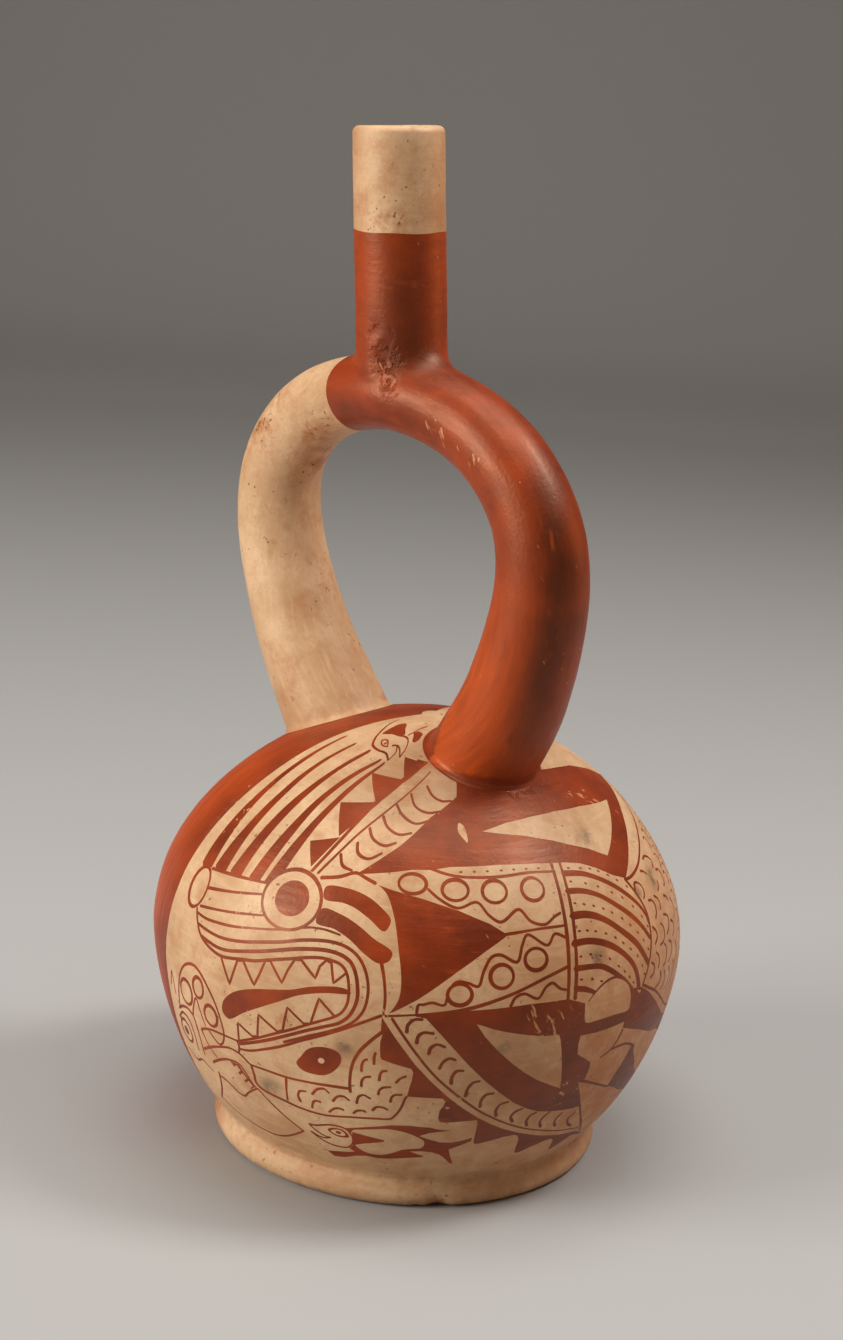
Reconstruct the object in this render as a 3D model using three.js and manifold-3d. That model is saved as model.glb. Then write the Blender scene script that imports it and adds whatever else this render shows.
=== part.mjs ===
// Stirrup spout vessel: a hollow ceramic bottle with a round chamber on a low ring foot,
// two tapering legs that rise from its crown and meet in an arch, and one straight spout on the arch.
// It was fired as one piece, so it is one solid, and the passage runs from the mouth into the chamber.
// Millimetres, +Z up. The origin is the centre of the foot's underside, and the arch stands along X.

import * as THREE from "three";
import { mergeVertices } from "three/addons/utils/BufferGeometryUtils.js";
import Module from "manifold-3d";

// Chamber
const CHAMBER_RADIUS = 77; // at its widest
const CHAMBER_WALL = 5;
const WAIST_HEIGHT = 62; // height of the widest level above the ground
const CROWN_RISE = 64.8; // from the widest level up to the crown
const CROWN_ROUNDNESS = 1.93; // 2 is an ellipse, and less is more pointed
const BELLY_DROP = 84; // depth that the lower curve would reach if no foot cut it off
const BELLY_ROUNDNESS = 1.77;

// Ring foot
const FOOT_HEIGHT = 8.3; // from the ground to the crease under the belly
const FOOT_RADIUS = 56.6;
const FOOT_ROUND = 1.6; // rounding of the foot's lower outer edge
const FOOT_RING_WIDTH = 10; // width of the band that touches the ground
const FOOT_RECESS = 4.5; // depth of the hollow under the floor
const FLOOR_THICKNESS = 6.5;

// Stirrup
const LEG_SPREAD = 30.7; // from the middle to the point where a leg's axis meets the chamber
const LEG_RAKE = 56; // degrees above level at that point
const ARCH_SPREAD = 53; // from the middle to the leg's axis where the legs stand widest
const ARCH_RISE = 91.3; // from the crown to the axis at the top of the arch
const LEG_ROOT_RADIUS = 16.6;
const ARCH_TOP_RADIUS = 10.6;
const LEG_TAPER = 1.5; // above 1 the leg thins faster near the chamber
const STIRRUP_WALL = 3.6;

// Spout
const SPOUT_HEIGHT = 71.8; // from the axis at the top of the arch to the rim
const SPOUT_BASE_RADIUS = 12.8;
const SPOUT_RIM_RADIUS = 12.4;
const SPOUT_BORE_RADIUS = 8.6;
const RIM_ROUND = 1.5; // rounding of the lip outside
const MOUTH_ROUND = 0.8; // rounding of the lip inside
const SPOUT_FILLET = 6; // how far the clay is smeared out along the arch

// The stirrup and the spout lean a little, as the hand-built part was set on
const CROWN_SHIFT = new THREE.Vector2(-5.5, -5.3); // at the height of the crown
const MOUTH_SHIFT = new THREE.Vector2(-14.4, -13.9); // at the height of the rim

// Fineness of the facets
const CHAMBER_SIDES = 64;
const CHAMBER_ROWS = 11; // for each of the two halves of the profile
const CAVITY_SIDES = 40;
const CAVITY_ROWS = 7;
const TUBE_SIDES = 24;
const TUBE_STEPS = 42;
const BORE_SIDES = 16;
const BORE_STEPS = 32;
const ROUND_STEPS = 3;

const crownHeight = WAIST_HEIGHT + CROWN_RISE;
const archHeight = crownHeight + ARCH_RISE;
const rimHeight = archHeight + SPOUT_HEIGHT;
const floorHeight = FOOT_RECESS + FLOOR_THICKNESS;

const wasm = await Module();
wasm.setup();

// Sideways shift of the stirrup and the spout at a height
function lean(height) {
  const share = (height - crownHeight) / (rimHeight - crownHeight);
  return CROWN_SHIFT.clone().lerp(MOUTH_SHIFT, share);
}

// One quarter of a superellipse in radius and height, from the widest level to the axis
function quarterCurve(radius, rise, roundness, rows) {
  const points = [];
  for (let row = 0; row <= rows; row += 1) {
    const angle = (row / rows) * (Math.PI / 2);
    const out = Math.max(Math.cos(angle), 0) ** (2 / roundness);
    const up = Math.sin(angle) ** (2 / roundness);
    points.push(new THREE.Vector2(row === rows ? 0 : radius * out, rise * up));
  }
  return points;
}

// The chamber's outline from a lowest height up to the crown, inset by a thickness
function chamberOutline(inset, lowest, rows) {
  const shift = new THREE.Vector2(0, WAIST_HEIGHT);
  const radius = CHAMBER_RADIUS - inset;
  const upper = quarterCurve(radius, CROWN_RISE - inset, CROWN_ROUNDNESS, rows);
  const drop = BELLY_DROP - inset;
  const reach = (WAIST_HEIGHT - lowest) / drop; // share of the lower curve that is used
  const lastAngle = Math.asin(reach ** (BELLY_ROUNDNESS / 2));
  const lower = [];
  for (let row = rows; row > 0; row -= 1) {
    const angle = (row / rows) * lastAngle;
    const out = radius * Math.cos(angle) ** (2 / BELLY_ROUNDNESS);
    const down = drop * Math.sin(angle) ** (2 / BELLY_ROUNDNESS);
    lower.push(new THREE.Vector2(out, -down));
  }
  return [...lower, ...upper].map((point) => point.add(shift));
}

// Height of the chamber's outer face above the widest level, at a distance from the axis
function crownHeightAt(distance) {
  const share = 1 - (distance / CHAMBER_RADIUS) ** CROWN_ROUNDNESS;
  return WAIST_HEIGHT + CROWN_RISE * share ** (1 / CROWN_ROUNDNESS);
}

// Quarter of a circle as profile points
function quarterRound(centre, radius, startDegrees, endDegrees) {
  const points = [];
  for (let step = 0; step <= ROUND_STEPS; step += 1) {
    const degrees = THREE.MathUtils.lerp(startDegrees, endDegrees, step / ROUND_STEPS);
    const angle = THREE.MathUtils.degToRad(degrees);
    const offset = new THREE.Vector2(Math.cos(angle), Math.sin(angle)).multiplyScalar(radius);
    points.push(centre.clone().add(offset));
  }
  return points;
}

// A profile of radius and height, turned about the upright axis
function turned(profile, sides) {
  return new THREE.LatheGeometry(profile, sides).rotateX(Math.PI / 2);
}

// Moves every corner of a geometry by a function
function reshaped(geometry, move) {
  const corners = geometry.attributes.position;
  const corner = new THREE.Vector3();
  for (let index = 0; index < corners.count; index += 1) {
    corner.fromBufferAttribute(corners, index);
    move(corner);
    corners.setXYZ(index, corner.x, corner.y, corner.z);
  }
  return geometry;
}

// A closed geometry as a solid that can be joined and cut
function solid(geometry) {
  geometry.deleteAttribute("normal");
  geometry.deleteAttribute("uv");
  const merged = mergeVertices(geometry, 1e-4);
  const triVerts = [];
  for (let index = 0; index < merged.index.count; index += 3) {
    const [a, b, c] = merged.index.array.slice(index, index + 3);
    if (a !== b && b !== c && c !== a) triVerts.push(a, b, c);
  }
  const vertProperties = new Float32Array(merged.attributes.position.array);
  const mesh = new wasm.Mesh({ numProp: 3, vertProperties, triVerts: new Uint32Array(triVerts) });
  return new wasm.Manifold(mesh);
}

// The solid's faces as a geometry
function surfaceOf(body) {
  const mesh = body.getMesh();
  const geometry = new THREE.BufferGeometry();
  geometry.setAttribute("position", new THREE.BufferAttribute(mesh.vertProperties, 3));
  geometry.setIndex(new THREE.BufferAttribute(mesh.triVerts, 1));
  return geometry;
}

// The axis of the stirrup from the root of one leg over the arch to the root of the other
function stirrupAxis() {
  const rake = THREE.MathUtils.degToRad(LEG_RAKE);
  const rootDepth = CHAMBER_WALL + LEG_ROOT_RADIUS; // the root ends in the chamber's hollow
  const start = new THREE.Vector2(LEG_SPREAD, crownHeightAt(LEG_SPREAD));
  const inward = new THREE.Vector2(-Math.cos(rake), -Math.sin(rake));
  // Further places as shares of the arch's spread and rise
  const shares = [
    [0.83, 0.182],
    [0.992, 0.49],
    [0.967, 0.683],
    [0.783, 0.842],
    [0.49, 0.946],
  ];
  const half = [
    start.clone().addScaledVector(inward, rootDepth),
    start,
    ...shares.map(([out, up]) => new THREE.Vector2(ARCH_SPREAD * out, crownHeight + ARCH_RISE * up)),
  ];
  const top = new THREE.Vector2(0, archHeight);
  const mirrored = half.map((point) => new THREE.Vector2(-point.x, point.y)).reverse();
  const places = [...half, top, ...mirrored].map((point) => {
    const shift = lean(point.y);
    return new THREE.Vector3(point.x + shift.x, shift.y, point.y);
  });
  return new THREE.CatmullRomCurve3(places, false, "centripetal");
}

// A round bar along the stirrup's axis, thinner by an inset on all sides
function stirrupBar(axis, inset, sides, steps) {
  const bar = new THREE.CylinderGeometry(1, 1, 1, sides, steps);
  const across = new THREE.Vector3(0, 1, 0);
  return reshaped(bar, (corner) => {
    const along = THREE.MathUtils.clamp(corner.y + 0.5, 0, 1);
    const toRoot = Math.abs(2 * along - 1); // 0 at the top of the arch, 1 at a root
    const radius = THREE.MathUtils.lerp(ARCH_TOP_RADIUS, LEG_ROOT_RADIUS, toRoot ** LEG_TAPER) - inset;
    const outward = across.clone().cross(axis.getTangentAt(along)).normalize();
    const place = axis.getPointAt(along);
    place.addScaledVector(across, corner.x * radius).addScaledVector(outward, corner.z * radius);
    corner.copy(place);
  });
}

// The chamber and its ring foot, as one full turned form
function chamberForm() {
  const ringInner = FOOT_RADIUS - FOOT_RING_WIDTH;
  const edge = new THREE.Vector2(FOOT_RADIUS - FOOT_ROUND, FOOT_ROUND);
  const profile = [
    new THREE.Vector2(0, FOOT_RECESS),
    new THREE.Vector2(ringInner - FOOT_RECESS, FOOT_RECESS),
    new THREE.Vector2(ringInner, 0),
    ...quarterRound(edge, FOOT_ROUND, -90, 0),
    ...chamberOutline(0, FOOT_HEIGHT, CHAMBER_ROWS),
  ];
  return solid(turned(profile, CHAMBER_SIDES));
}

// The chamber's hollow
function chamberHollow() {
  const outline = chamberOutline(CHAMBER_WALL, floorHeight, CAVITY_ROWS);
  return solid(turned([new THREE.Vector2(0, floorHeight), ...outline], CAVITY_SIDES));
}

// Leans a spout form over and, near the arch, draws it out along the arch
function setOnArch(corner) {
  const fade = THREE.MathUtils.clamp(1 - (corner.z - archHeight) / (3 * SPOUT_FILLET), 0, 1);
  const shift = lean(corner.z);
  corner.x *= 1 + (SPOUT_FILLET / SPOUT_BASE_RADIUS) * fade ** 2;
  corner.x += shift.x;
  corner.y += shift.y;
}

// The spout as a full turned form, with a round end sunk in the arch
function spoutForm() {
  const sunk = ARCH_TOP_RADIUS * 0.75; // the round end stays inside the arch's own thickness
  const neckStart = archHeight + 1.2 * ARCH_TOP_RADIUS;
  const neckRows = 4;
  const profile = [new THREE.Vector2(0, archHeight - sunk)];
  for (let row = 1; row <= neckRows; row += 1) {
    const angle = (row / neckRows) * (Math.PI / 2);
    const height = THREE.MathUtils.lerp(neckStart, archHeight - sunk, Math.cos(angle));
    profile.push(new THREE.Vector2(SPOUT_BASE_RADIUS * Math.sin(angle), height));
  }
  profile.push(new THREE.Vector2(SPOUT_BASE_RADIUS, archHeight + 3 * SPOUT_FILLET));
  const lip = new THREE.Vector2(SPOUT_RIM_RADIUS - RIM_ROUND, rimHeight - RIM_ROUND);
  profile.push(...quarterRound(lip, RIM_ROUND, 0, 90), new THREE.Vector2(0, rimHeight));
  return solid(reshaped(turned(profile, TUBE_SIDES), setOnArch));
}

// The passage in the spout, with a rounded edge at the mouth
function spoutBore() {
  const above = rimHeight + MOUTH_ROUND; // runs past the rim, so that the mouth is open
  const profile = [
    new THREE.Vector2(0, archHeight),
    new THREE.Vector2(SPOUT_BORE_RADIUS, archHeight + SPOUT_FILLET),
    new THREE.Vector2(SPOUT_BORE_RADIUS, rimHeight - MOUTH_ROUND),
    new THREE.Vector2(SPOUT_BORE_RADIUS + MOUTH_ROUND * 0.3, rimHeight - MOUTH_ROUND * 0.3),
    new THREE.Vector2(SPOUT_BORE_RADIUS + MOUTH_ROUND, rimHeight),
    new THREE.Vector2(SPOUT_BORE_RADIUS + MOUTH_ROUND, above),
    new THREE.Vector2(0, above),
  ];
  const tilt = (corner) => {
    const shift = lean(corner.z);
    corner.x += shift.x;
    corner.y += shift.y;
  };
  return solid(reshaped(turned(profile, BORE_SIDES), tilt));
}

function vesselBody() {
  const axis = stirrupAxis();
  const stirrup = solid(stirrupBar(axis, 0, TUBE_SIDES, TUBE_STEPS));
  const passage = solid(stirrupBar(axis, STIRRUP_WALL, BORE_SIDES, BORE_STEPS));
  const outside = chamberForm().add(stirrup).add(spoutForm());
  const inside = chamberHollow().add(passage).add(spoutBore());
  return outside.subtract(inside);
}

const slipPaintedCeramic = new THREE.MeshStandardMaterial({
  color: 0xc08a62,
  roughness: 0.5,
  metalness: 0,
});

const vessel = new THREE.Mesh(surfaceOf(vesselBody()), slipPaintedCeramic);
vessel.name = "vessel";

const part = new THREE.Group();
part.add(vessel);

export default part;
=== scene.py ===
"""Stirrup spout vessel: a hollow slip-painted bottle, dressed as one watertight mesh.

The chamber, ring foot, stirrup and spout are one fired piece, so one mesh stands for the solid.
The painting is cut into the surface mesh as flush areas of red and cream slip, so its edges stay
sharp at any distance. Lengths are millimetres until a mesh is written in metres.
"""

import logging
import math
from dataclasses import dataclass, field
from enum import Enum
from typing import Callable, Iterable, Sequence

import bpy
import bmesh
import numpy as np
from mathutils import Matrix, Vector, noise
from mathutils.geometry import delaunay_2d_cdt


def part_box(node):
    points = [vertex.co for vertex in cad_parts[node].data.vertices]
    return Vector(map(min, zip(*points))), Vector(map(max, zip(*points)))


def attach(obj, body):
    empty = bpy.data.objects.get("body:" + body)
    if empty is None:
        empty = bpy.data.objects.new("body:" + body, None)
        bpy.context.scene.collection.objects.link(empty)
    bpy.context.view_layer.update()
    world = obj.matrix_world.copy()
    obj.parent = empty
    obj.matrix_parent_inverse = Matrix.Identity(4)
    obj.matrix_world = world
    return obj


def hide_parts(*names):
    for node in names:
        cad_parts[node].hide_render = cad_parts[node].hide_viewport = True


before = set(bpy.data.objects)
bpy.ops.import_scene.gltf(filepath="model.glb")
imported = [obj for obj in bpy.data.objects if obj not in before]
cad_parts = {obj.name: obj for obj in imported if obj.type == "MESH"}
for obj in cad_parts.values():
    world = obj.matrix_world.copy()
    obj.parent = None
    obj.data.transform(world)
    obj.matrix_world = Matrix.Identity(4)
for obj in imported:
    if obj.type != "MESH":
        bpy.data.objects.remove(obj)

log = logging.getLogger("vessel")
Array = np.ndarray
Point = tuple[float, float]
Place = tuple[float, float, float]
Spots = tuple[tuple[float, ...], ...]
Socket = bpy.types.NodeSocket
Input = bpy.types.NodeSocket | float

NODE = "vessel"
MM = 0.001
LOW, HIGH = (np.array(corner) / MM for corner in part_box(NODE))
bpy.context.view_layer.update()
TURN = 2.0 * math.pi


class Slip(Enum):
    """The surfaces of the fired clay, in the order of the material slots."""

    CREAM = 0
    RED = 1
    CLAY = 2


# Curves


def between(start: float, end: float, share: Array | float) -> Array | float:
    """Returns the value at a share of the way from start to end."""
    return start + (end - start) * share


def ramp(values: Array | float, start: float, end: float) -> Array | float:
    """Returns 0 up to the start, 1 from the end on and an even rise between them."""
    return np.clip((values - start) / (end - start), 0, 1)


def curve_through(points: Sequence[Sequence[float]], steps: int, closed: bool = False) -> Array:
    """Runs a centripetal Catmull-Rom curve through points.

    Args:
        points: The places that the curve passes through, in two or three dimensions.
        steps: How many steps each stretch between two places gets.
        closed: Whether the curve returns to its first place.

    Returns:
        The points of the curve, one row each. A closed curve doesn't repeat its first point.
    """
    places = np.array(points, float)
    if closed:
        places = np.vstack([places[-1], places, places[0], places[1]])
    else:
        places = np.vstack([2 * places[0] - places[1], places, 2 * places[-1] - places[-2]])
    share = np.arange(steps)[:, None] / steps
    parts = []
    for a, b, c, d in zip(places, places[1:], places[2:], places[3:]):
        gaps = [max(math.dist(p, q) ** 0.5, 1e-6) for p, q in ((a, b), (b, c), (c, d))]
        t1, t2, t3 = np.cumsum(gaps)
        t = t1 + (t2 - t1) * share
        first = a * (t1 - t) / t1 + b * t / t1
        middle = b * (t2 - t) / (t2 - t1) + c * (t - t1) / (t2 - t1)
        last = c * (t3 - t) / (t3 - t2) + d * (t - t2) / (t3 - t2)
        left = first * (t2 - t) / t2 + middle * t / t2
        right = middle * (t3 - t) / (t3 - t1) + last * (t - t1) / (t3 - t1)
        parts.append(left * (t2 - t) / (t2 - t1) + right * (t - t1) / (t2 - t1))
    if not closed:
        parts.append(places[-2][None])
    return np.vstack(parts)


def evenly(points: Array, step: float, closed: bool = False) -> Array:
    """Adds points to a line so that no stretch is longer than a step, and keeps its corners."""
    ends = np.vstack([points[1:], points[:1]]) if closed else points[1:]
    parts = []
    for start, end in zip(points, ends):
        count = max(1, math.ceil(math.dist(start, end) / step))
        parts.append(start + (end - start) * (np.arange(count)[:, None] / count))
    if not closed:
        parts.append(points[-1:])
    return np.vstack(parts)


def winds_round(outline: Array, points: Array) -> Array:
    """Tells which points lie inside an outline, counted by its turns round each point."""
    turns = np.zeros(len(points), int)
    x, y = points[:, 0], points[:, 1]
    for (x0, y0), (x1, y1) in zip(outline, np.roll(outline, -1, axis=0)):
        side = (x1 - x0) * (y - y0) - (x - x0) * (y1 - y0)
        turns += ((y0 <= y) & (y1 > y) & (side > 0)).astype(int)
        turns -= ((y0 > y) & (y1 <= y) & (side < 0)).astype(int)
    return turns != 0


# Forms of the vessel


@dataclass
class ChamberForm:
    """The turned chamber, or its hollow when it is inset by the wall.

    A place on it is given on an unrolled sheet: x is millimetres round the widest level, from the
    near leg, and y is millimetres up the side from the widest level.
    """

    inset: float = 0.0
    radius: float = float(HIGH[0])
    waist: float = 62.0
    crown_rise: float = 64.8
    crown_roundness: float = 1.93
    belly_drop: float = 84.0
    belly_roundness: float = 1.77
    lowest: float = 8.3
    samples: int = 3001

    def __post_init__(self) -> None:
        """Works out the side's outline and its lengths."""
        self.sheet_radius = self.radius
        self.radius -= self.inset
        self.crown_rise -= self.inset
        self.belly_drop -= self.inset
        angle = np.linspace(0.0, math.pi / 2, self.samples)
        up, down = 2 / self.crown_roundness, 2 / self.belly_roundness
        out, rise = self.radius * np.cos(angle) ** up, self.crown_rise * np.sin(angle) ** up
        upper = np.stack([out, self.waist + rise])
        last = math.asin(((self.waist - self.lowest) / self.belly_drop) ** (1 / down))
        angle = np.linspace(0.0, last, self.samples)[:0:-1]
        out, drop = self.radius * np.cos(angle) ** down, self.belly_drop * np.sin(angle) ** down
        lower = np.stack([out, self.waist - drop])
        self.radii, self.heights = np.hstack([lower, upper])
        self.radii[-1] = 0.0
        steps = np.hypot(np.diff(self.radii), np.diff(self.heights))
        self.lengths = np.concatenate([[0.0], np.cumsum(steps)])
        self.lengths -= self.lengths[len(lower[0])]
        widths = np.maximum((self.radii[1:] + self.radii[:-1]) / 2, 1e-3)
        shrink = np.concatenate([[0.0], np.cumsum(steps / widths)])
        self.log_disc = math.log(self.radius) - (shrink - shrink[len(lower[0])])

    @property
    def sheet_low(self) -> float:
        """Returns the lowest place up the side."""
        return float(self.lengths[0])

    @property
    def sheet_turn(self) -> float:
        """Returns the way round on the sheet."""
        return TURN * self.sheet_radius

    def surface(self, sheet: Array) -> Array:
        """Returns the places in space of places on the sheet."""
        angle = sheet[:, 0] / self.sheet_radius
        out = np.interp(sheet[:, 1], self.lengths, self.radii)
        height = np.interp(sheet[:, 1], self.lengths, self.heights)
        return np.stack([out * np.cos(angle), out * np.sin(angle), height], axis=1)

    def disc(self, sheet: Array) -> Array:
        """Lays places of the sheet on a flat disc that keeps all angles true."""
        out = np.exp(np.interp(sheet[:, 1], self.lengths, self.log_disc))
        angle = sheet[:, 0] / self.sheet_radius
        return np.stack([out * np.cos(angle), out * np.sin(angle)], axis=1)

    def sheet_of_disc(self, disc: Array) -> Array:
        """Returns the places on the sheet of places on the disc."""
        out = np.log(np.maximum(np.hypot(disc[:, 0], disc[:, 1]), 1e-6))
        x = np.arctan2(disc[:, 1], disc[:, 0]) * self.sheet_radius
        return np.stack([x, np.interp(out, self.log_disc[::-1], self.lengths[::-1])], axis=1)

    def level(self, points: Array) -> Array:
        """Returns 1 on the upper surface, less inside it and more outside."""
        out = np.hypot(points[:, 0], points[:, 1]) / self.radius
        up = np.maximum(points[:, 2] - self.waist, 0.0) / self.crown_rise
        return (out ** self.crown_roundness + up ** self.crown_roundness) ** (1 / self.crown_roundness)

    def sheet_of(self, points: Array) -> Array:
        """Drops points near the upper surface on it and returns their places on the sheet."""
        height = self.waist + (points[:, 2] - self.waist) / self.level(points)
        x = np.arctan2(points[:, 1], points[:, 0]) * self.sheet_radius
        return np.stack([x, np.interp(height, self.heights, self.lengths)], axis=1)


@dataclass
class StirrupForm:
    """The two legs and the arch, or the passage in them when inset by the wall.

    A place on it is the length along its axis from the top of the arch, positive towards the near
    leg, and the angle round the axis, 0 outwards.
    """

    inset: float = 0.0
    chamber_wall: float = 5.0
    leg_spread: float = 30.7
    leg_rake: float = 56.0
    arch_spread: float = 53.0
    arch_rise: float = 91.3
    root_radius: float = 16.6
    top_radius: float = 10.6
    taper: float = 1.5
    widening: float = 3.0
    widening_reach: float = 17.0
    shares: tuple[Point, ...] = ((0.83, 0.182), (0.992, 0.49), (0.967, 0.683), (0.783, 0.842), (0.49, 0.946))
    crown_shift: Point = (-5.5, -5.3)
    mouth_shift: Point = (-14.4, -13.9)

    def __post_init__(self) -> None:
        """Works out the axis from the root of one leg to the root of the other."""
        chamber = ChamberForm()
        self.crown = chamber.waist + chamber.crown_rise
        self.rim = float(HIGH[2])
        share = 1 - (self.leg_spread / chamber.radius) ** chamber.crown_roundness
        seat = chamber.waist + chamber.crown_rise * share ** (1 / chamber.crown_roundness)
        rake, depth = math.radians(self.leg_rake), self.chamber_wall + self.root_radius
        root = (self.leg_spread - depth * math.cos(rake), seat - depth * math.sin(rake))
        half = [root, (self.leg_spread, seat)]
        half += [(self.arch_spread * out, self.crown + self.arch_rise * up) for out, up in self.shares]
        flat = half + [(0.0, self.crown + self.arch_rise)] + [(-x, z) for x, z in reversed(half)]
        shifts = self.lean(np.array([z for _, z in flat]))
        places = [(x + dx, dy, z) for (x, z), (dx, dy) in zip(flat, shifts)]
        self.axis = curve_through(places, 40)
        steps = np.linalg.norm(np.diff(self.axis, axis=0), axis=1)
        length = np.concatenate([[0.0], np.cumsum(steps)])
        self.half = length[-1] / 2
        self.lengths = self.half - length
        tangent = np.gradient(self.axis, axis=0)
        self.outward = np.cross((0.0, 1.0, 0.0), tangent)
        self.outward /= np.linalg.norm(self.outward, axis=1)[:, None]

    def lean(self, height: Array) -> Array:
        """Returns the sideways shift of the stirrup and the spout at heights."""
        share = (np.asarray(height, float) - self.crown) / (self.rim - self.crown)
        low, high = np.array(self.crown_shift), np.array(self.mouth_shift)
        return low + (high - low) * share[:, None]

    def along_axis(self, values: Array, along: Array) -> Array:
        """Reads a row of values of the axis at lengths along it."""
        return np.stack([np.interp(along, self.lengths[::-1], column[::-1]) for column in values.T], axis=1)

    def radius(self, along: Array) -> Array:
        """Returns the tube's radius in the plane of the arch."""
        share = np.clip(np.abs(along) / self.half, 0, 1) ** self.taper
        return between(self.top_radius, self.root_radius, share) - self.inset

    def across(self, along: Array) -> Array:
        """Returns the tube's radius across the plane of the arch, wider under the spout."""
        return self.radius(along) + self.widening * np.exp(-((along / self.widening_reach) ** 2))

    def directions(self, along: Array, around: Array) -> Array:
        """Returns the direction from the axis towards each place."""
        outward = self.along_axis(self.outward, along)
        side = np.array([0.0, 1.0, 0.0])
        return outward * np.cos(around)[:, None] + side * np.sin(around)[:, None]

    def surface(self, along: Array, around: Array) -> Array:
        """Returns the places in space."""
        outward = self.along_axis(self.outward, along) * (self.radius(along) * np.cos(around))[:, None]
        side = np.array([0.0, 1.0, 0.0]) * (self.across(along) * np.sin(around))[:, None]
        return self.along_axis(self.axis, along) + outward + side

    def place_near(self, points: Array) -> tuple[Array, Array]:
        """Returns the length and the angle of points near the top of the arch."""
        dense = np.linspace(-45.0, 45.0, 721)
        axis = self.along_axis(self.axis, dense)
        nearest = np.argmin(np.linalg.norm(points[:, None, ::2] - axis[None, :, ::2], axis=2), axis=1)
        along = dense[nearest]
        offset = points - axis[nearest]
        out = np.sum(offset * self.along_axis(self.outward, along), axis=1)
        return along, np.arctan2(offset[:, 1] / self.across(along), out / self.radius(along))

    def level(self, points: Array) -> Array:
        """Returns 1 on the surface near the top of the arch, less inside and more outside."""
        along, _ = self.place_near(points)
        offset = points - self.along_axis(self.axis, along)
        out = np.sum(offset * self.along_axis(self.outward, along), axis=1) / self.radius(along)
        return np.hypot(offset[:, 1] / self.across(along), out)


def crossing(path: Callable[[Array], Array], level: Callable[[Array], Array], inner: Array,
             outer: Array) -> Array:
    """Finds where paths cross a surface by halving.

    Args:
        path: Gives the points on the paths at a row of lengths.
        level: Gives less than 1 inside the surface and more outside.
        inner: Lengths that lie inside.
        outer: Lengths that lie outside.

    Returns:
        The lengths at the surface.
    """
    inner, outer = inner.astype(float), outer.astype(float)
    for _ in range(40):
        middle = (inner + outer) / 2
        inside = level(path(middle)) < 1
        inner = np.where(inside, middle, inner)
        outer = np.where(inside, outer, middle)
    return (inner + outer) / 2


def rounding(low: Array, corner: Array, high: Array, rings: int) -> list[Array]:
    """Returns the rings of a fillet that leaves one surface, turns at the corner and joins another."""
    return [low * (1 - t) ** 2 + corner * 2 * t * (1 - t) + high * t ** 2 for t in np.linspace(0, 1, rings)]


# Mesh building


@dataclass
class Skin:
    """Triangles in the making, with what the shaders read at each corner and each face."""

    points: list[Array] = field(default_factory=list)
    faces: list[Array] = field(default_factory=list)
    slips: list[Array] = field(default_factory=list)
    brushing: list[Array] = field(default_factory=list)
    maps: list[Array] = field(default_factory=list)
    total: int = 0

    def add(self, points: Array, faces: Array, slips: Array, brushing: Array, maps: Array) -> None:
        """Adds a patch.

        Args:
            points: The corners in space.
            faces: The three corners of each triangle.
            slips: The material slot of each triangle.
            brushing: The corners in a space where the burnishing strokes look round.
            maps: The flat place of each triangle's corners in the surface map.
        """
        self.points.append(points)
        self.faces.append(faces + self.total)
        self.slips.append(slips)
        self.brushing.append(brushing)
        self.maps.append(maps.reshape(-1, 2))
        self.total += len(points)

    def add_rows(self, rows: Sequence[Array], slips: Sequence[Slip], brushing: Callable[[Array], Array],
                 block: "MapBlock", closing: bool = False) -> None:
        """Adds a band of quads, split in two, between closed rings of as many points each.

        Args:
            rows: The rings.
            slips: The slip of each band between two rings.
            brushing: Gives the space of the burnishing strokes.
            block: The part of the surface map for it.
            closing: Whether the last ring closes on its middle.
        """
        count = len(rows[0])
        points = np.vstack(rows)
        column = np.arange(count)
        following = (column + 1) % count
        faces, marks, flat = [], [], []
        height = np.linspace(0.0, 1.0, len(rows))
        for row in range(len(rows) - 1):
            low, high = row * count, (row + 1) * count
            faces.append(np.stack([low + column, low + following, high + following], axis=1))
            faces.append(np.stack([low + column, high + following, high + column], axis=1))
            marks.append(np.full(2 * count, slips[min(row, len(slips) - 1)].value))
            u0, u1 = column / count, (column + 1) / count
            v0, v1 = np.full(count, height[row]), np.full(count, height[row + 1])
            flat.append(np.stack([u0, v0, u1, v0, u1, v1], axis=1))
            flat.append(np.stack([u0, v0, u1, v1, u0, v1], axis=1))
        if closing:
            last = (len(rows) - 1) * count
            points = np.vstack([points, rows[-1].mean(axis=0)])
            middle = np.full(count, len(points) - 1)
            faces.append(np.stack([last + column, last + following, middle], axis=1))
            marks.append(np.full(count, slips[-1].value))
            flat.append(np.stack([column / count, np.ones(count) * 0.9, (column + 1) / count,
                                  np.ones(count) * 0.9, (column + 0.5) / count, np.ones(count)], axis=1))
        maps = block.place(np.vstack(flat).reshape(-1, 2))
        self.add(points, np.vstack(faces), np.concatenate(marks), brushing(points), maps)


@dataclass(frozen=True)
class MapBlock:
    """A rectangle of the surface map."""

    left: float
    low: float
    width: float
    height: float

    def place(self, flat: Array) -> Array:
        """Puts places between 0 and 1 in the rectangle."""
        return np.clip(flat, 0, 1) * (self.width, self.height) + (self.left, self.low)


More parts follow.
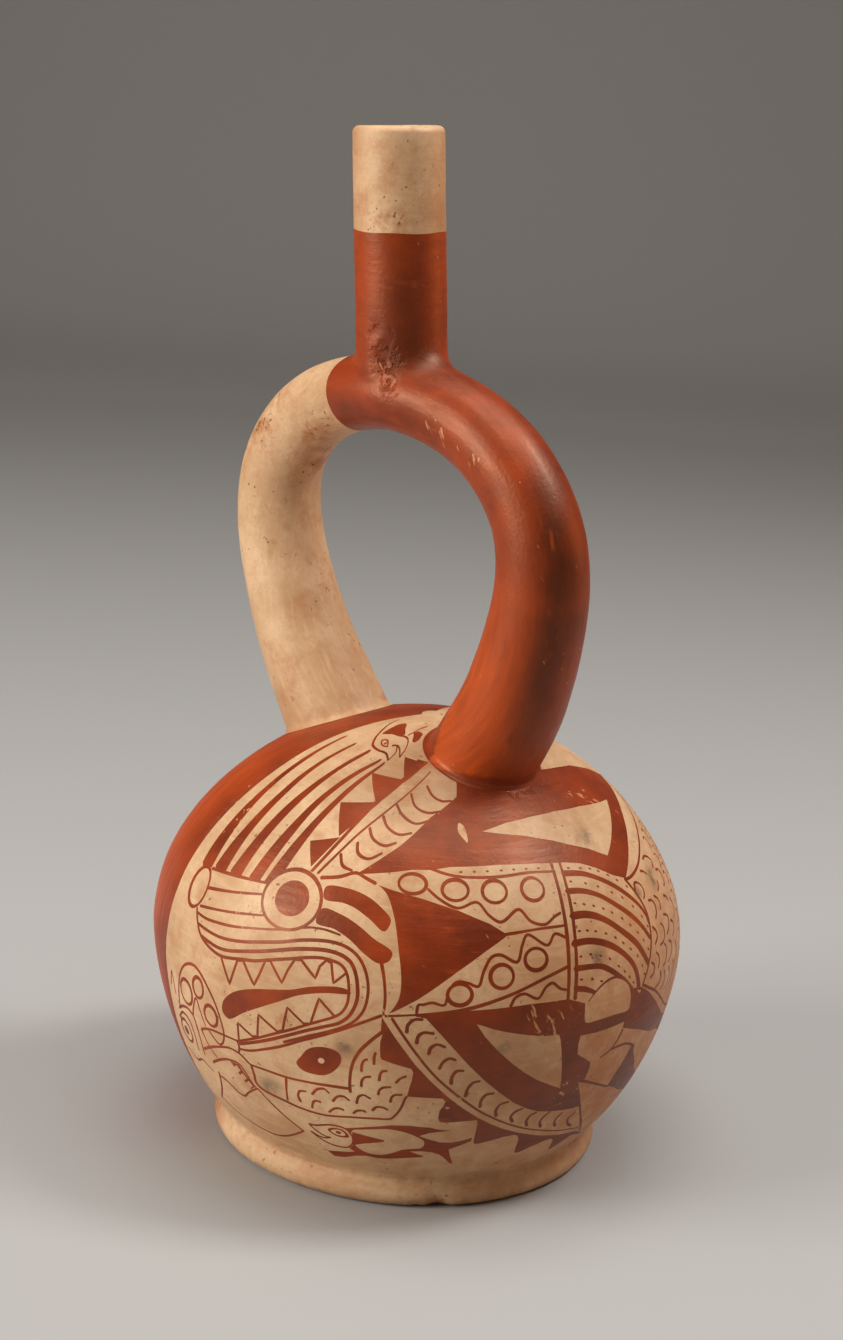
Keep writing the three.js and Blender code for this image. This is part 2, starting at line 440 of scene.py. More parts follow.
class Blocks:
    """Where the surfaces lie on the map. Red and cream have their own discs, so no colour bleeds."""

    CREAM_DISC = MapBlock(0.003, 0.502, 0.492, 0.492)
    RED_DISC = MapBlock(0.505, 0.502, 0.492, 0.492)
    STIRRUP = MapBlock(0.003, 0.255, 0.994, 0.235)
    SPOUT = MapBlock(0.003, 0.005, 0.28, 0.24)
    FOOT = MapBlock(0.29, 0.005, 0.42, 0.24)
    JOINTS = MapBlock(0.72, 0.13, 0.276, 0.115)
    HOLLOW = MapBlock(0.72, 0.005, 0.276, 0.115)


def triangulated(outlines: Sequence[Array], lines: Sequence[Array], inner: Array) -> tuple[Array, Array]:
    """Joins flat points by triangles whose edges follow the given lines.

    Args:
        outlines: Closed lines.
        lines: Open lines.
        inner: Further points.

    Returns:
        The points and the triangles.
    """
    points = [Vector(p) for p in inner]
    edges: list[tuple[int, int]] = []
    for closed, group in ((True, outlines), (False, lines)):
        for line in group:
            first = len(points)
            points.extend(Vector(p) for p in line)
            edges.extend((first + k, first + k + 1) for k in range(len(line) - 1))
            if closed:
                edges.append((first + len(line) - 1, first))
    result = delaunay_2d_cdt(points, edges, [], 0, 1e-4, False)
    return np.array([tuple(p) for p in result[0]]), np.array([tuple(f) for f in result[2]])


# The painting


class Painting:
    """Areas of red and cream slip on the chamber's unrolled sheet. A later area covers an earlier one."""

    step = 0.9
    ring_width = 1.05
    ring_drift = 0.17
    dot_size = (0.6, 0.325)

    def __init__(self) -> None:
        """Starts with a cream chamber."""
        self.areas: list[tuple[Slip, Array]] = []
        self.mirrored = False
        self.moved = (0.0, 0.0)

    def area(self, slip: Slip, outline: Array) -> None:
        """Adds one closed outline, moved or mirrored to the side that is being painted."""
        placed = outline + self.moved
        if self.mirrored:
            placed = placed * (-1.0, 1.0)
        self.areas.append((slip, evenly(placed, self.step, closed=True)))

    def shape(self, points: Sequence[Point], slip: Slip = Slip.RED) -> None:
        """Fills a shape with straight sides."""
        self.area(slip, np.array(points, float))

    def blob(self, points: Sequence[Point], slip: Slip = Slip.RED) -> None:
        """Fills a shape with rounded sides."""
        self.area(slip, curve_through(points, 6, closed=True))

    def stroke(self, points: Sequence[Point], width: float, bent: bool = True, tail: float = 0.8) -> None:
        """Draws a stroke of the brush in red.

        Args:
            points: The places that it passes.
            width: Its full width.
            bent: Whether it is a smooth curve.
            tail: Its width at the end as a share of its full width.
        """
        line = np.array(points, float)
        if bent and len(line) > 2:
            line = curve_through(line, 6)
        line = evenly(line, self.step)
        tangent = np.gradient(line, axis=0)
        tangent /= np.maximum(np.linalg.norm(tangent, axis=1), 1e-9)[:, None]
        normal = np.stack([-tangent[:, 1], tangent[:, 0]], axis=1)
        share = np.linspace(0.0, 1.0, len(line))
        # The brush presses unevenly, so a stroke swells and thins a little along its way
        press = 1 + 0.12 * np.sin(share * 7 + line[0, 0]) * np.sin(share * 3.1 + line[0, 1])
        half = (width / 2 * between(1.0, tail, share) * press)[:, None]
        start = line[0] - tangent[0] * half[0] * 0.8
        end = line[-1] + tangent[-1] * half[-1] * 0.8
        outline = np.vstack([start[None], line + normal * half, end[None], (line - normal * half)[::-1]])
        self.area(Slip.RED, outline)

    def oval(self, centre: Point, half_width: float, half_height: float, slip: Slip = Slip.RED,
             lean: float = 0.0) -> None:
        """Fills an oval, turned by degrees."""
        sides = max(10, int(TURN * max(half_width, half_height) / 0.8))
        angle = np.linspace(0, TURN, sides, endpoint=False)
        x, y = half_width * np.cos(angle), half_height * np.sin(angle)
        turn = math.radians(lean)
        across, up = x * math.cos(turn) - y * math.sin(turn), x * math.sin(turn) + y * math.cos(turn)
        self.area(slip, np.stack([across, up], axis=1) + centre)

    def ring(self, centre: Point, half_width: float, half_height: float) -> None:
        """Draws an oval ring with cream inside, a little heavier on one side."""
        half = self.ring_width / 2
        self.oval(centre, half_width + half, half_height + half)
        x, y = centre
        drift = self.ring_drift * self.ring_width
        inner = (x + drift * math.cos(2 * x), y + drift * math.sin(2 * x))
        self.oval(inner, half_width - half, half_height - half, Slip.CREAM)

    def crescent(self, centre: Point, size: float, facing: float, spread: float) -> None:
        """Draws a short curved stroke, open towards the facing direction in degrees."""
        x, y = centre
        angles = np.radians(facing + 180 + np.linspace(-spread / 2, spread / 2, 5))
        self.stroke([(x + size * math.cos(a), y + size * math.sin(a)) for a in angles], 0.9, tail=0.6)

    def dots(self, line: Sequence[Point], count: int) -> None:
        """Sets small dashes evenly along a line."""
        path = evenly(curve_through(line, 8), 0.3)
        for place in np.linspace(0, len(path) - 1, count + 2)[1:-1].astype(int):
            self.oval(tuple(path[place]), *self.dot_size)


class SeaCreature(Painting):
    """The fanged sea creature of the front and the plainer fins, bands and fish of the back.

    Every method draws one feature. Its points are places on the sheet in millimetres.
    """

    band_edge = 150.5
    band_low = -55.5

    def paint(self, chamber: ChamberForm) -> "SeaCreature":
        """Paints all round the chamber.

        Args:
            chamber: The form that carries the painting.

        Returns:
            The painting.
        """
        for feature in (self.upper_field, self.crest, self.crescent_band, self.big_triangle, self.panels,
                        self.striped_body, self.scaled_body, self.head, self.mouth, self.lower_fin,
                        self.fin_panel, self.limbs, self.fish, self.hand, self.bird_head, self.back_side):
            feature()
        self.leg_bands(chamber)
        return self

    def leg_bands(self, chamber: ChamberForm) -> None:
        """Paints the broad red band round the far leg's side, across the sheet's seam."""
        top = float(chamber.lengths[-1]) - 3.0
        turn = chamber.sheet_turn
        heights = np.linspace(self.band_low, top, 180)
        edge = self.band_edge + 0.4 * np.sin(heights / 11.0)
        over = np.linspace(edge[-1], turn - edge[-1], 14)[1:-1]
        under = np.linspace(turn - edge[0], edge[0], 200)[1:-1]
        along = np.concatenate([edge, over, turn - edge[::-1], under])
        low_edge = np.full(len(under), self.band_low)
        up = np.concatenate([heights, np.full(len(over), top), heights[::-1], low_edge])
        self.areas.append((Slip.RED, np.stack([along, up], axis=1)))

    def upper_field(self) -> None:
        """Paints the red field below the near leg, with its long cream triangle and the chip."""
        self.shape([
            (-83, 39), (-70, 49), (-59.5, 59), (-47, 66.5), (-44, 78), (-20, 90), (10, 84), (17, 72.5),
            (30, 71), (45, 68.5), (60, 62.5), (72, 56), (60, 53), (45, 49), (30, 42), (15, 33.5),
            (9.5, 35.6), (3.5, 39), (-2.5, 41.5), (-9.5, 42.8), (-21, 43.8), (-35, 44.3), (-52, 43.8),
            (-59, 42.6), (-65, 42.2), (-71, 41)])
        self.shape([
            (-38.5, 54.6), (-27, 57), (-14.5, 58), (-0.5, 58.3), (16.5, 57.3), (28, 55.8), (40.5, 54.2),
            (25, 47.3), (12, 41.2), (4.5, 45), (-9.5, 49.6), (-21.5, 52.4)], Slip.CREAM)
        self.blob([(-47.8, 57.4), (-46, 56.6), (-45, 53.4), (-45.2, 51.2), (-46.8, 52.6), (-48.4, 54.8)],
                   Slip.CREAM)

    def crest(self) -> None:
        """Paints the crest's long spines, which grow from the snout and taper upwards."""
        spines = [
            ([(-140.4, 28.5), (-141, 40), (-141.6, 52), (-142.2, 66), (-142.6, 82.5)], 6.0, 2.6),
            ([(-133, 29.4), (-132, 42), (-130.8, 56), (-129.6, 70), (-125, 81.5)], 5.6, 2.4),
            ([(-125.4, 30), (-122.4, 48), (-118.8, 62), (-114, 72.5), (-108.2, 80.5)], 5.6, 2.4),
            ([(-117, 30.6), (-113.4, 46), (-109.4, 60), (-103, 70.5), (-95, 78)], 4.9, 1.5),
            ([(-110.8, 30.6), (-107.6, 43), (-103.5, 56), (-98.4, 67.5), (-91.3, 77)], 4.6, 1.5),
        ]
        for places, low, high in spines:
            self.stroke(places, low, tail=high / low)
        teeth = [
            [(-98.8, 38.5), (-92.8, 48.6), (-103.4, 45.6)], [(-93.4, 48.8), (-82.6, 62.2), (-100.2, 59.4)],
            [(-84.5, 61.5), (-75, 71.6), (-94.6, 72.3)], [(-74.5, 70.5), (-63.5, 79.5), (-80, 81.3)],
        ]
        for tooth in teeth:
            self.shape(tooth)
        self.shape([(-98.6, 37.3), (-97.4, 37.3), (-84.4, 60.5), (-72, 73.5), (-62, 80), (-70, 81),
                    (-76, 72.5), (-85, 62.8)])

    def crescent_band(self) -> None:
        """Draws the band of crescents between the crest and the red field."""
        self.stroke([(-95.6, 37.3), (-90.5, 45), (-86, 51.2), (-76.3, 61.6), (-67, 70.3), (-60.5, 76)], 0.9)
        arcs = [
            [(-90.2, 43.8), (-88.3, 40.8), (-84.6, 39.8)],
            [(-85.7, 48), (-84.3, 45), (-80.3, 43.8), (-76, 46)],
            [(-83.1, 53), (-80.7, 50), (-75.8, 48.3), (-71.8, 49.6)],
            [(-79.3, 57.4), (-76.4, 54.2), (-71.6, 52.3), (-66.6, 53.2)],
            [(-75, 62), (-71.6, 58.8), (-65.8, 56.4), (-60.4, 57.6)],
            [(-69.6, 66.6), (-66.8, 62.4), (-61.2, 60.4), (-55, 61.2)],
            [(-62, 70), (-59, 66.6), (-54.6, 64.8), (-49.8, 65)],
        ]
        for arc in arcs:
            self.stroke(arc, 1.15, tail=0.7)

    def big_triangle(self) -> None:
        """Paints the red triangle behind the head."""
        self.shape([(-80.5, 38), (-70, 36), (-60.5, 34.4), (-50, 31.8), (-40.6, 28.2), (-35.3, 25),
                    (-42.5, 20.8), (-50, 15.8), (-60.5, 8), (-66.6, 4.2), (-69.5, 3.2), (-76, 20)])

    def panels(self) -> None:
        """Draws the two panels with circles and waves, and the upright strip that closes them."""
        self.stroke([
            (-58.8, 43), (-53, 41.6), (-48, 41), (-35, 40.9), (-25, 41.4), (-15.5, 40.9)], 0.85, tail=1.0)
        self.dots([(-53, 42.3), (-38, 42.6), (-27, 42.6), (-16, 42)], 7)
        for x, y, wide, high in ((-64.3, 38.4, 4.4, 2.75), (-50.8, 37.4, 4.2, 2.9), (-38.1, 36.9, 4.0, 3.1),
                                 (-25, 36.7, 3.9, 3.2)):
            self.ring((x, y), wide, high)
        self.stroke([
            (-59.4, 37.2), (-55.3, 34.4), (-50, 32.4), (-44, 34), (-40.6, 30.4), (-37.1, 28.5), (-31, 31.6),
            (-27.6, 28.1), (-23.2, 26.9), (-19.6, 28.6), (-17.2, 29.4)], 0.85, tail=1.0)
        self.stroke([(-36, 25.2), (-26, 25.9), (-16.4, 25.9)], 0.9)
        for x, y, wide, high in ((-49.4, 9.6, 3.3, 2.8), (-37.9, 14.3, 3.3, 3.1), (-27.5, 18, 3.4, 2.9)):
            self.ring((x, y), wide, high)
        self.stroke([
            (-59.2, 6.7), (-56.6, 7.4), (-53.4, 6.9), (-52.4, 10.6), (-50.4, 13), (-47.4, 12.8),
            (-44.4, 11.9), (-43, 15.6), (-40.6, 19.4), (-38, 19.9), (-33.2, 17.8), (-31.4, 21.9),
            (-29.4, 24.7), (-23.4, 21.4), (-20.6, 24.1), (-17.2, 22.8)], 0.85, tail=1.0)
        self.stroke([(-60.6, 3.8), (-60.2, 6.6), (-59.2, 6.8)], 0.85)
        self.stroke([(-60.5, 3.8), (-48, 5.7), (-35.4, 9.3), (-25, 12.9), (-17, 15.2)], 0.95, tail=1.0)
        self.stroke([(-35.4, 6.2), (-34, 8.5), (-31.4, 9.3), (-27.4, 7.7), (-24.9, 10.5), (-22.8, 11.3),
                     (-20.4, 9.5), (-17.6, 8.7)], 0.95)
        self.stroke([(-15, 43.2), (-16.4, 25), (-18, 6)], 1.2, bent=False, tail=1.0)
        self.stroke([(-11.4, 42.9), (-13.6, 25), (-15.6, 6)], 1.2, bent=False, tail=1.0)

    def striped_body(self) -> None:
        """Draws the curved stripes of the body, with rows of dashes between them."""
        stripes = [
            ([(-11.8, 39.8), (-5, 38.9), (0, 37.2), (5, 34.6), (10, 31.1), (15, 26.4), (17.9, 22.4),
              (18.6, 19.4)], 1.7),
            ([(-12.8, 34.8), (-8, 34.3), (-4, 33.2), (0, 31.4), (5, 28), (10, 24.1), (14, 20.2),
              (17.3, 15.8)], 1.8),
            ([(-13.6, 28), (-9, 27.8), (-5, 26.8), (0, 24.2), (5, 20.4), (10, 16.1), (13, 12), (14.8, 9.2)],
              2.2),
            ([(-14.9, 20.7), (-10, 20.7), (-5, 19.6), (0, 17.3), (5, 13.5), (8, 9.8), (9.2, 6.4),
              (9.7, 3.8)], 2.1),
            ([(-15.2, 14.1), (-10, 13.8), (-6, 13.2), (-3, 11.8), (0, 9.8), (3, 7.6), (5, 5.6), (6.6, 3.8)],
              1.8),
            ([(-15.6, 8.8), (-12, 8), (-9.6, 7), (-7.6, 5.8)], 1.7),
        ]
        for stripe, width in stripes:
            self.stroke(stripe, width, tail=0.75)
        rows = [
            [(-8.7, 41), (-3.6, 40.2), (0.4, 39.4), (3.6, 38.1), (7, 36.2), (10.2, 34), (13.6, 31.4)],
            [(-9.9, 37.2), (-4.2, 35.8), (0.4, 34.1), (5.4, 31.4), (9.2, 29.1), (12.6, 25.8), (15.6, 22.2),
             (17.4, 19)],
            [(-11.1, 31.2), (-7.7, 30.4), (-4.2, 29.4), (-0.7, 28), (2.4, 26.3), (6, 23.9), (8.9, 21.4),
             (11.6, 18.7), (13.8, 16), (15.6, 13)],
            [(-11.9, 23.7), (-9, 23.4), (-6, 22.7), (-2.2, 21.4), (1.3, 19.6), (4.2, 17.5), (7, 15.2),
             (9.7, 12.6), (11.6, 9.4), (12.6, 6.8)],
            [(-12.8, 17), (-9.2, 17), (-5.6, 16), (-2.2, 14.5), (1, 11.8), (3.4, 9.8), (5.4, 7.8),
             (7.2, 5.8)],
            [(-13.3, 10.9), (-9.4, 10.3), (-6, 9.1), (-3.8, 8.6)],
        ]
        for row in rows:
            for (x, y), (x1, y1) in zip(row, row[1:] + row[-1:]):
                turn = math.degrees(math.atan2(y1 - y, x1 - x)) if x1 > x else -40.0
                self.oval((x, y), 0.62, 0.34, lean=turn)
        self.stroke([(14.3, 33.4), (15.6, 31), (17, 28), (18.2, 25), (18.9, 22), (18.7, 19), (17.8, 15),
                     (16.4, 11.6), (15.2, 9.4), (13.6, 6.6), (11.8, 4.4)], 1.0)

    def scaled_body(self) -> None:
        """Draws the scale-marked tail of the body, which runs on round the side."""
        self.stroke([(14.5, 33.2), (18, 33.2), (22, 33.9), (27, 35.2), (32, 37), (37, 38.8), (45, 41.6),
                     (60, 47), (74, 53)], 0.9)
        self.stroke([
            (11.6, 4), (15, 2.2), (19, 0.2), (22, -1.8), (26, -4.6), (33, -9), (45, -13.6), (60, -17)], 0.9)
        scales = [
            [(16.8, 29.2), (18.4, 31.2), (20.4, 30.8), (21.8, 29), (21.2, 27.2), (19.8, 26.2)],
            [(31.8, 35.2), (34.6, 35.5), (37.2, 34.4), (38.4, 32.8), (36.4, 31.2)],
            [(25.4, 33.1), (27, 32.7), (28.8, 31.3)],
            [(22.2, 25.1), (24.3, 24.6), (25.5, 23), (25, 21), (23.4, 19.5)],
            [(27, 25.2), (28.9, 24), (29.6, 22.3), (28.4, 20.8)],
            [(38, 30), (40.4, 29.6), (42, 27.4), (41, 25.2), (39, 24.8)],
            [(34.8, 23), (36.8, 22.3), (38.2, 20.6)],
            [(34.6, 27.6), (33.6, 26.2), (31.6, 25.4)],
            [(20, 18.1), (21.6, 16.7), (22, 15), (20, 13.2)],
            [(25.8, 17.6), (27.4, 16), (27.6, 14), (26, 12.4), (23.2, 12)],
            [(29.6, 18.9), (31.6, 18.4), (33.1, 17.2), (32.6, 15.2), (31.2, 13.9), (29.4, 13.3)],
            [(35, 15.7), (37.4, 14.4), (37.5, 12.2), (35.2, 11)],
            [(20, 10.9), (21.4, 9.6), (21.7, 7.9), (20.7, 6.1)],
            [(16.6, 8.9), (18.2, 7.7), (17.8, 5.8), (15.6, 4.8)],
            [(30.4, 11.1), (32.6, 10), (32.9, 8), (31, 6.1), (28.6, 5.3)],
            [(26.3, 11.5), (27.6, 10.2), (26.6, 6.4), (24.6, 5.6)],
            [(22, 4.9), (22.7, 3.1), (21.2, 1.5), (19, 0.9)],
            [(25.4, 4), (26.2, 2), (25.2, 0), (23, -0.9)],
            [(29.6, 3.8), (30.6, 1.6), (29.4, -1), (27.2, -2)],
            [(34, 4.4), (35.2, 2), (33.8, -0.8), (31.4, -2.6)],
            [(37.6, 8.8), (39, 6.6), (38, 4), (35.8, 3)],
            [(40.4, 20.6), (42, 18.6), (41.6, 16.2), (39.6, 14.8)],
        ]
        for scale in scales:
            self.stroke(scale, 0.85, tail=0.8)
        for column in range(16):
            x = 45.5 + 5.6 * column
            share = (x - 15) / 117
            low = 2.5 - 17 * min(share * 2, 1) + 22 * max(share - 0.45, 0)
            high = 33.5 + 18 * min(share * 2, 1) - 40 * max(share - 0.5, 0)
            offset = 2.9 * (column % 2)
            for y in np.arange(low + 2.4 + offset, high - 2, 5.8):
                wobble = 0.5 * math.sin(x * 1.7 + y)
                self.crescent((x + wobble, y), 2.1, 200 + 12 * math.sin(x + y * 0.7), 190)

    def head(self) -> None:
        """Draws the head's outline, the eye, the snout and the bars behind the eye."""
        self.blob([(-80.5, 38.2), (-75.7, 37.2), (-72, 34.8), (-68.9, 29), (-66.9, 21.6), (-65.2, 12),
                   (-65.8, 7), (-69.2, 3), (-78, 8), (-84, 22), (-88, 34)], Slip.CREAM)
        self.stroke([(-94, 36.3), (-88, 37.6), (-83, 39.4), (-79.5, 38.4), (-76, 37.3)], 1.2)
        self.stroke([(-71, 16.8), (-69.8, 12.5), (-69.1, 7.5), (-69.2, 3.2)], 0.95)
        self.blob([(-91.5, 34.2), (-84.8, 34.9), (-78.2, 33.7), (-73.2, 31.2), (-69.7, 28), (-71.2, 24.9),
                   (-75.7, 27.5), (-80.7, 29.9), (-84.8, 30.8), (-91, 31)])
        self.blob([(-90.8, 28.3), (-84.8, 27.8), (-79, 25.7), (-74, 22.8), (-68.3, 19.7), (-69, 17.4),
                   (-71.6, 16.5), (-75.7, 18.3), (-80.7, 21.6), (-85.6, 23.6), (-91.5, 24.4)])
        self.shape([(-141, 25), (-138, 28.2), (-128, 29.3), (-120, 30.1), (-111.4, 30.9), (-110, 22),
                    (-134, 18)], Slip.CREAM)
        self.ring((-101.4, 28.9), 9.9, 8.2)
        self.oval((-101.2, 29.1), 5.7, 4.9)
        self.stroke([(-136.8, 28.4), (-128, 29.4), (-120, 30.2), (-111.4, 31)], 1.0)
        self.stroke([(-134.8, 23.2), (-123, 25.4), (-111.4, 27.8)], 0.9)
        self.stroke([(-134.8, 17.8), (-121, 20.2), (-108.4, 22.6)], 0.8)
        self.oval((-139.2, 22.2), 5.1, 6.4)
        self.oval((-138.9, 22.2), 3.9, 5.3, Slip.CREAM)

    def mouth(self) -> None:
        """Draws the lips as nested lines, the outlined teeth and the tongue."""
        lips = [
            ([(-136, 16.8), (-134.8, 15), (-133, 12.8), (-131, 10.9), (-128, 9.5), (-124, 8.5), (-120, 8.1),
              (-116, 8.7), (-112, 9.6), (-108, 10.3), (-104, 11.5), (-100, 12.7), (-96, 13.8), (-92, 14.9),
              (-88, 15.6), (-85, 15.5), (-82, 14.8), (-80.2, 13), (-79.2, 10), (-78.9, 7), (-79.2, 4.5),
              (-80.5, 2.1), (-82.6, 0.5), (-86, -1.2), (-90, -3.2), (-95, -5.9), (-100, -8.4), (-105, -11),
              (-109, -12.9), (-112.8, -14.6)], 0.9),
            ([(-130.6, 10.6), (-127, 10.2), (-122, 9.9), (-118, 10.3), (-112, 11.8), (-106, 13.4),
              (-100, 15.2), (-95, 16.6), (-90, 17.5), (-86, 17.8), (-82, 17.2), (-79.4, 15.8), (-77.7, 13.2),
              (-76.8, 10), (-76.5, 7), (-77, 4.4), (-78.4, 1.5), (-81, -0.9), (-85, -2.7), (-90, -4.9),
              (-95, -7.4), (-100, -9.9), (-106, -12.7), (-112.4, -15.4)], 1.1),
            ([(-133.2, 13.2), (-128, 12.8), (-122, 12.8), (-117, 13.4), (-112, 14.4), (-106, 15.9),
              (-100, 17.4), (-95, 18.9), (-90, 19.9), (-85, 20.2), (-81, 19.5), (-77.6, 17.6), (-75.3, 14.6),
              (-74, 10.8), (-73.8, 7.4), (-74.6, 3.6), (-76.6, 0.6), (-79.4, -1.6), (-84, -4), (-90, -6.7),
              (-97, -10.2)], 0.95),
            ([(-135.6, 15.8), (-130, 15.6), (-124, 16.2), (-118, 17), (-112, 18.2), (-106, 19.4),
              (-100.6, 20.6)], 0.8),
            ([(-95.4, 22.2), (-92, 22.9), (-88, 23), (-83.6, 22.4)], 0.7),
            ([(-69.7, 2.9), (-75, 0.1), (-80, -2.6), (-85, -5.2), (-92, -8.6), (-98, -11.8), (-104, -14.5),
              (-109, -16.5), (-113, -17.2)], 0.9),
            ([(-113.4, -14.6), (-112.8, -16.6), (-113.4, -18.8)], 0.9),
        ]
        for places, width in lips:
            self.stroke(places, width, tail=0.85)
        upper = [(-120.1, 8), (-115.4, 1.7), (-113.6, 8.9), (-111.6, 9.4), (-106.7, 4), (-105.4, 7.2),
                 (-104.2, 11.3), (-102.6, 11.6), (-98.1, 6.8), (-96.8, 10.6), (-95.3, 13.7), (-93.4, 14),
                 (-88.6, 10.1), (-87.8, 13.4), (-86.2, 15.3), (-84.7, 14.8), (-83.4, 9.7), (-80.2, 12.9)]
        self.stroke(upper, 0.85, bent=False)
        lower = [
            (-112.5, -14.3), (-112.2, -8.7), (-107.3, -11.3), (-105.5, -10.8), (-104.8, -4), (-98.8, -7.4),
            (-97.2, -6.6), (-95.8, 0.5), (-90.9, -3), (-88.9, -2.6), (-86.9, 4.9), (-82.4, 0.9)]
        self.stroke(lower, 0.85, bent=False)
        self.blob([
            (-118.2, -6.4), (-117.6, -3.9), (-115, -1), (-111.5, 1.1), (-107, 2.8), (-101, 4.3), (-95, 5.7),
            (-90, 7.5), (-86, 8.4), (-82, 8.9), (-79.5, 8.6), (-78.3, 7.7), (-79.6, 7.3), (-84, 6.9),
            (-88, 6.1), (-93, 4.5), (-98, 1.8), (-104, -1.5), (-110, -5), (-114, -7.9), (-115.8, -8.6),
            (-117.6, -7.8)])

    def lower_fin(self) -> None:
        """Paints the lower fin: a red field with a cream triangle, a band of crescents and a jagged edge."""
        edge = [(-69.6, 2.6), (-66, -2.5), (-60, -10.5), (-55, -16), (-50, -21), (-45, -25.4), (-40, -29.2),
                (-35, -32.4), (-30, -35.1), (-25, -37.3), (-20, -39.2), (-15, -40.9), (-10, -42.2),
                (-5, -43.4), (0, -44.4), (5, -45.4), (10, -47.6)]
        jags = [
            (16, -51), (4.5, -47.2), (1, -49.8), (-1.8, -51.8), (-3.1, -51.8), (-4, -50.4), (-5.8, -45.8),
            (-7.4, -44.6), (-10, -44.6), (-15, -46.4), (-18.6, -48.2), (-20.6, -48.5), (-21.5, -47),
            (-22.8, -41), (-23.8, -39.2), (-25.4, -38.4), (-29, -38.8), (-33, -40), (-37, -41),
            (-38.6, -40.8), (-39.1, -39.4), (-39.6, -32), (-40, -30.2), (-50, -30.9), (-51.4, -30.4),
            (-52, -29), (-51.9, -26), (-51, -24.4), (-50.6, -22.6), (-51.6, -21.5), (-61.8, -21.2),
            (-60.6, -16), (-60.3, -13), (-60.9, -11.9), (-66, -10.7), (-69, -9.8), (-69.6, -8.6),
            (-69.6, -2)]
        self.shape(edge + jags)
        field = [(-69, 3.2), (-60.8, 4.2), (-57, 4.7), (-50, 5.3), (-40, 5.8), (-30, 6.4), (-18, 6.3),
                 (-14, 4.9), (-12, 4.1), (-11.9, -1), (-12.5, -5.2), (-12.7, -8), (-12.2, -11), (-8, -13.6),
                 (-6, -15.4), (-5.7, -17.4), (-6.2, -21), (-8.7, -21.2), (-6, -26), (-3, -31.2)]
        low = [(-3.4, -31.7), (-6, -31.7), (-11, -31.2), (-16, -30.4), (-21, -29.2), (-25, -27.4),
               (-30, -24.4), (-35, -20.4), (-40, -16), (-45, -11), (-50, -5.4), (-54, -1), (-58, 3.1),
               (-61, 3.6), (-68.8, 2.5)]
        self.shape(field + low)
        self.shape([
            (-44.4, 1.7), (-42.6, 1.2), (-40, 0.2), (-36, -0.9), (-31, -2), (-25, -3.2), (-20.2, -3.4),
            (-19.4, -5), (-18.4, -8.5), (-17.2, -13), (-16, -18), (-15.2, -21.9), (-19, -20), (-24, -17.4),
            (-29, -14), (-33, -10.8), (-38, -6.2), (-42, -1.8)], Slip.CREAM)
        self.stroke([
            (-66.9, 2.4), (-64, -1.6), (-60, -7), (-55, -13.2), (-50, -18.2), (-45, -22.6), (-40, -26.6),
            (-35, -29.8), (-30, -32.6), (-25, -35), (-20, -37), (-15, -38.6), (-10, -40), (-5, -41.3),
            (0, -42.4), (5, -43.6)], 0.8)
        self.stroke([(-3.2, -31.4), (0, -36), (4, -41), (9.6, -47.2)], 0.9)
        arcs = [
            [(-62.8, -1.1), (-62.6, 1), (-61, 2.6), (-58.9, 2.8)], [(-60, -4), (-59.6, -1.8), (-58.2, -0.8),
             (-55.7, -1)],
            [(-56.6, -7), (-56.2, -5.2), (-54.6, -4.1), (-52.4, -4.8)], [(-53.4, -11.4), (-52.6, -9.4),
             (-51, -8.2), (-49.3, -8.7)],
            [(-49.7, -16.4), (-49.7, -14), (-48.6, -12.2), (-46.7, -12.1)], [(-45.1, -20.8), (-44.8, -18),
             (-43.6, -16.2), (-41.7, -15.7)],
            [(-40.2, -25), (-40.3, -22.6), (-39.2, -20.6), (-37, -20.2)], [(-34.4, -29), (-35, -26.8),
             (-34.2, -24.6), (-31.8, -23.8)],
            [(-28.2, -32.2), (-29.4, -30), (-28.6, -28.2), (-26.2, -27.2)], [(-22.2, -35), (-23.3, -32.8),
             (-22.6, -30.6), (-20.9, -29.7)],
            [(-16.4, -36.7), (-17.7, -34.4), (-17.2, -32.2), (-15.6, -30.7)], [(-10, -38), (-11.4, -36),
             (-11.2, -34), (-9.9, -32.5)],
            [(-1.6, -40.4), (-4.2, -38.6), (-5.6, -36), (-3.6, -33.9)],
        ]
        for arc in arcs:
            self.stroke(arc, 1.1, tail=0.75)

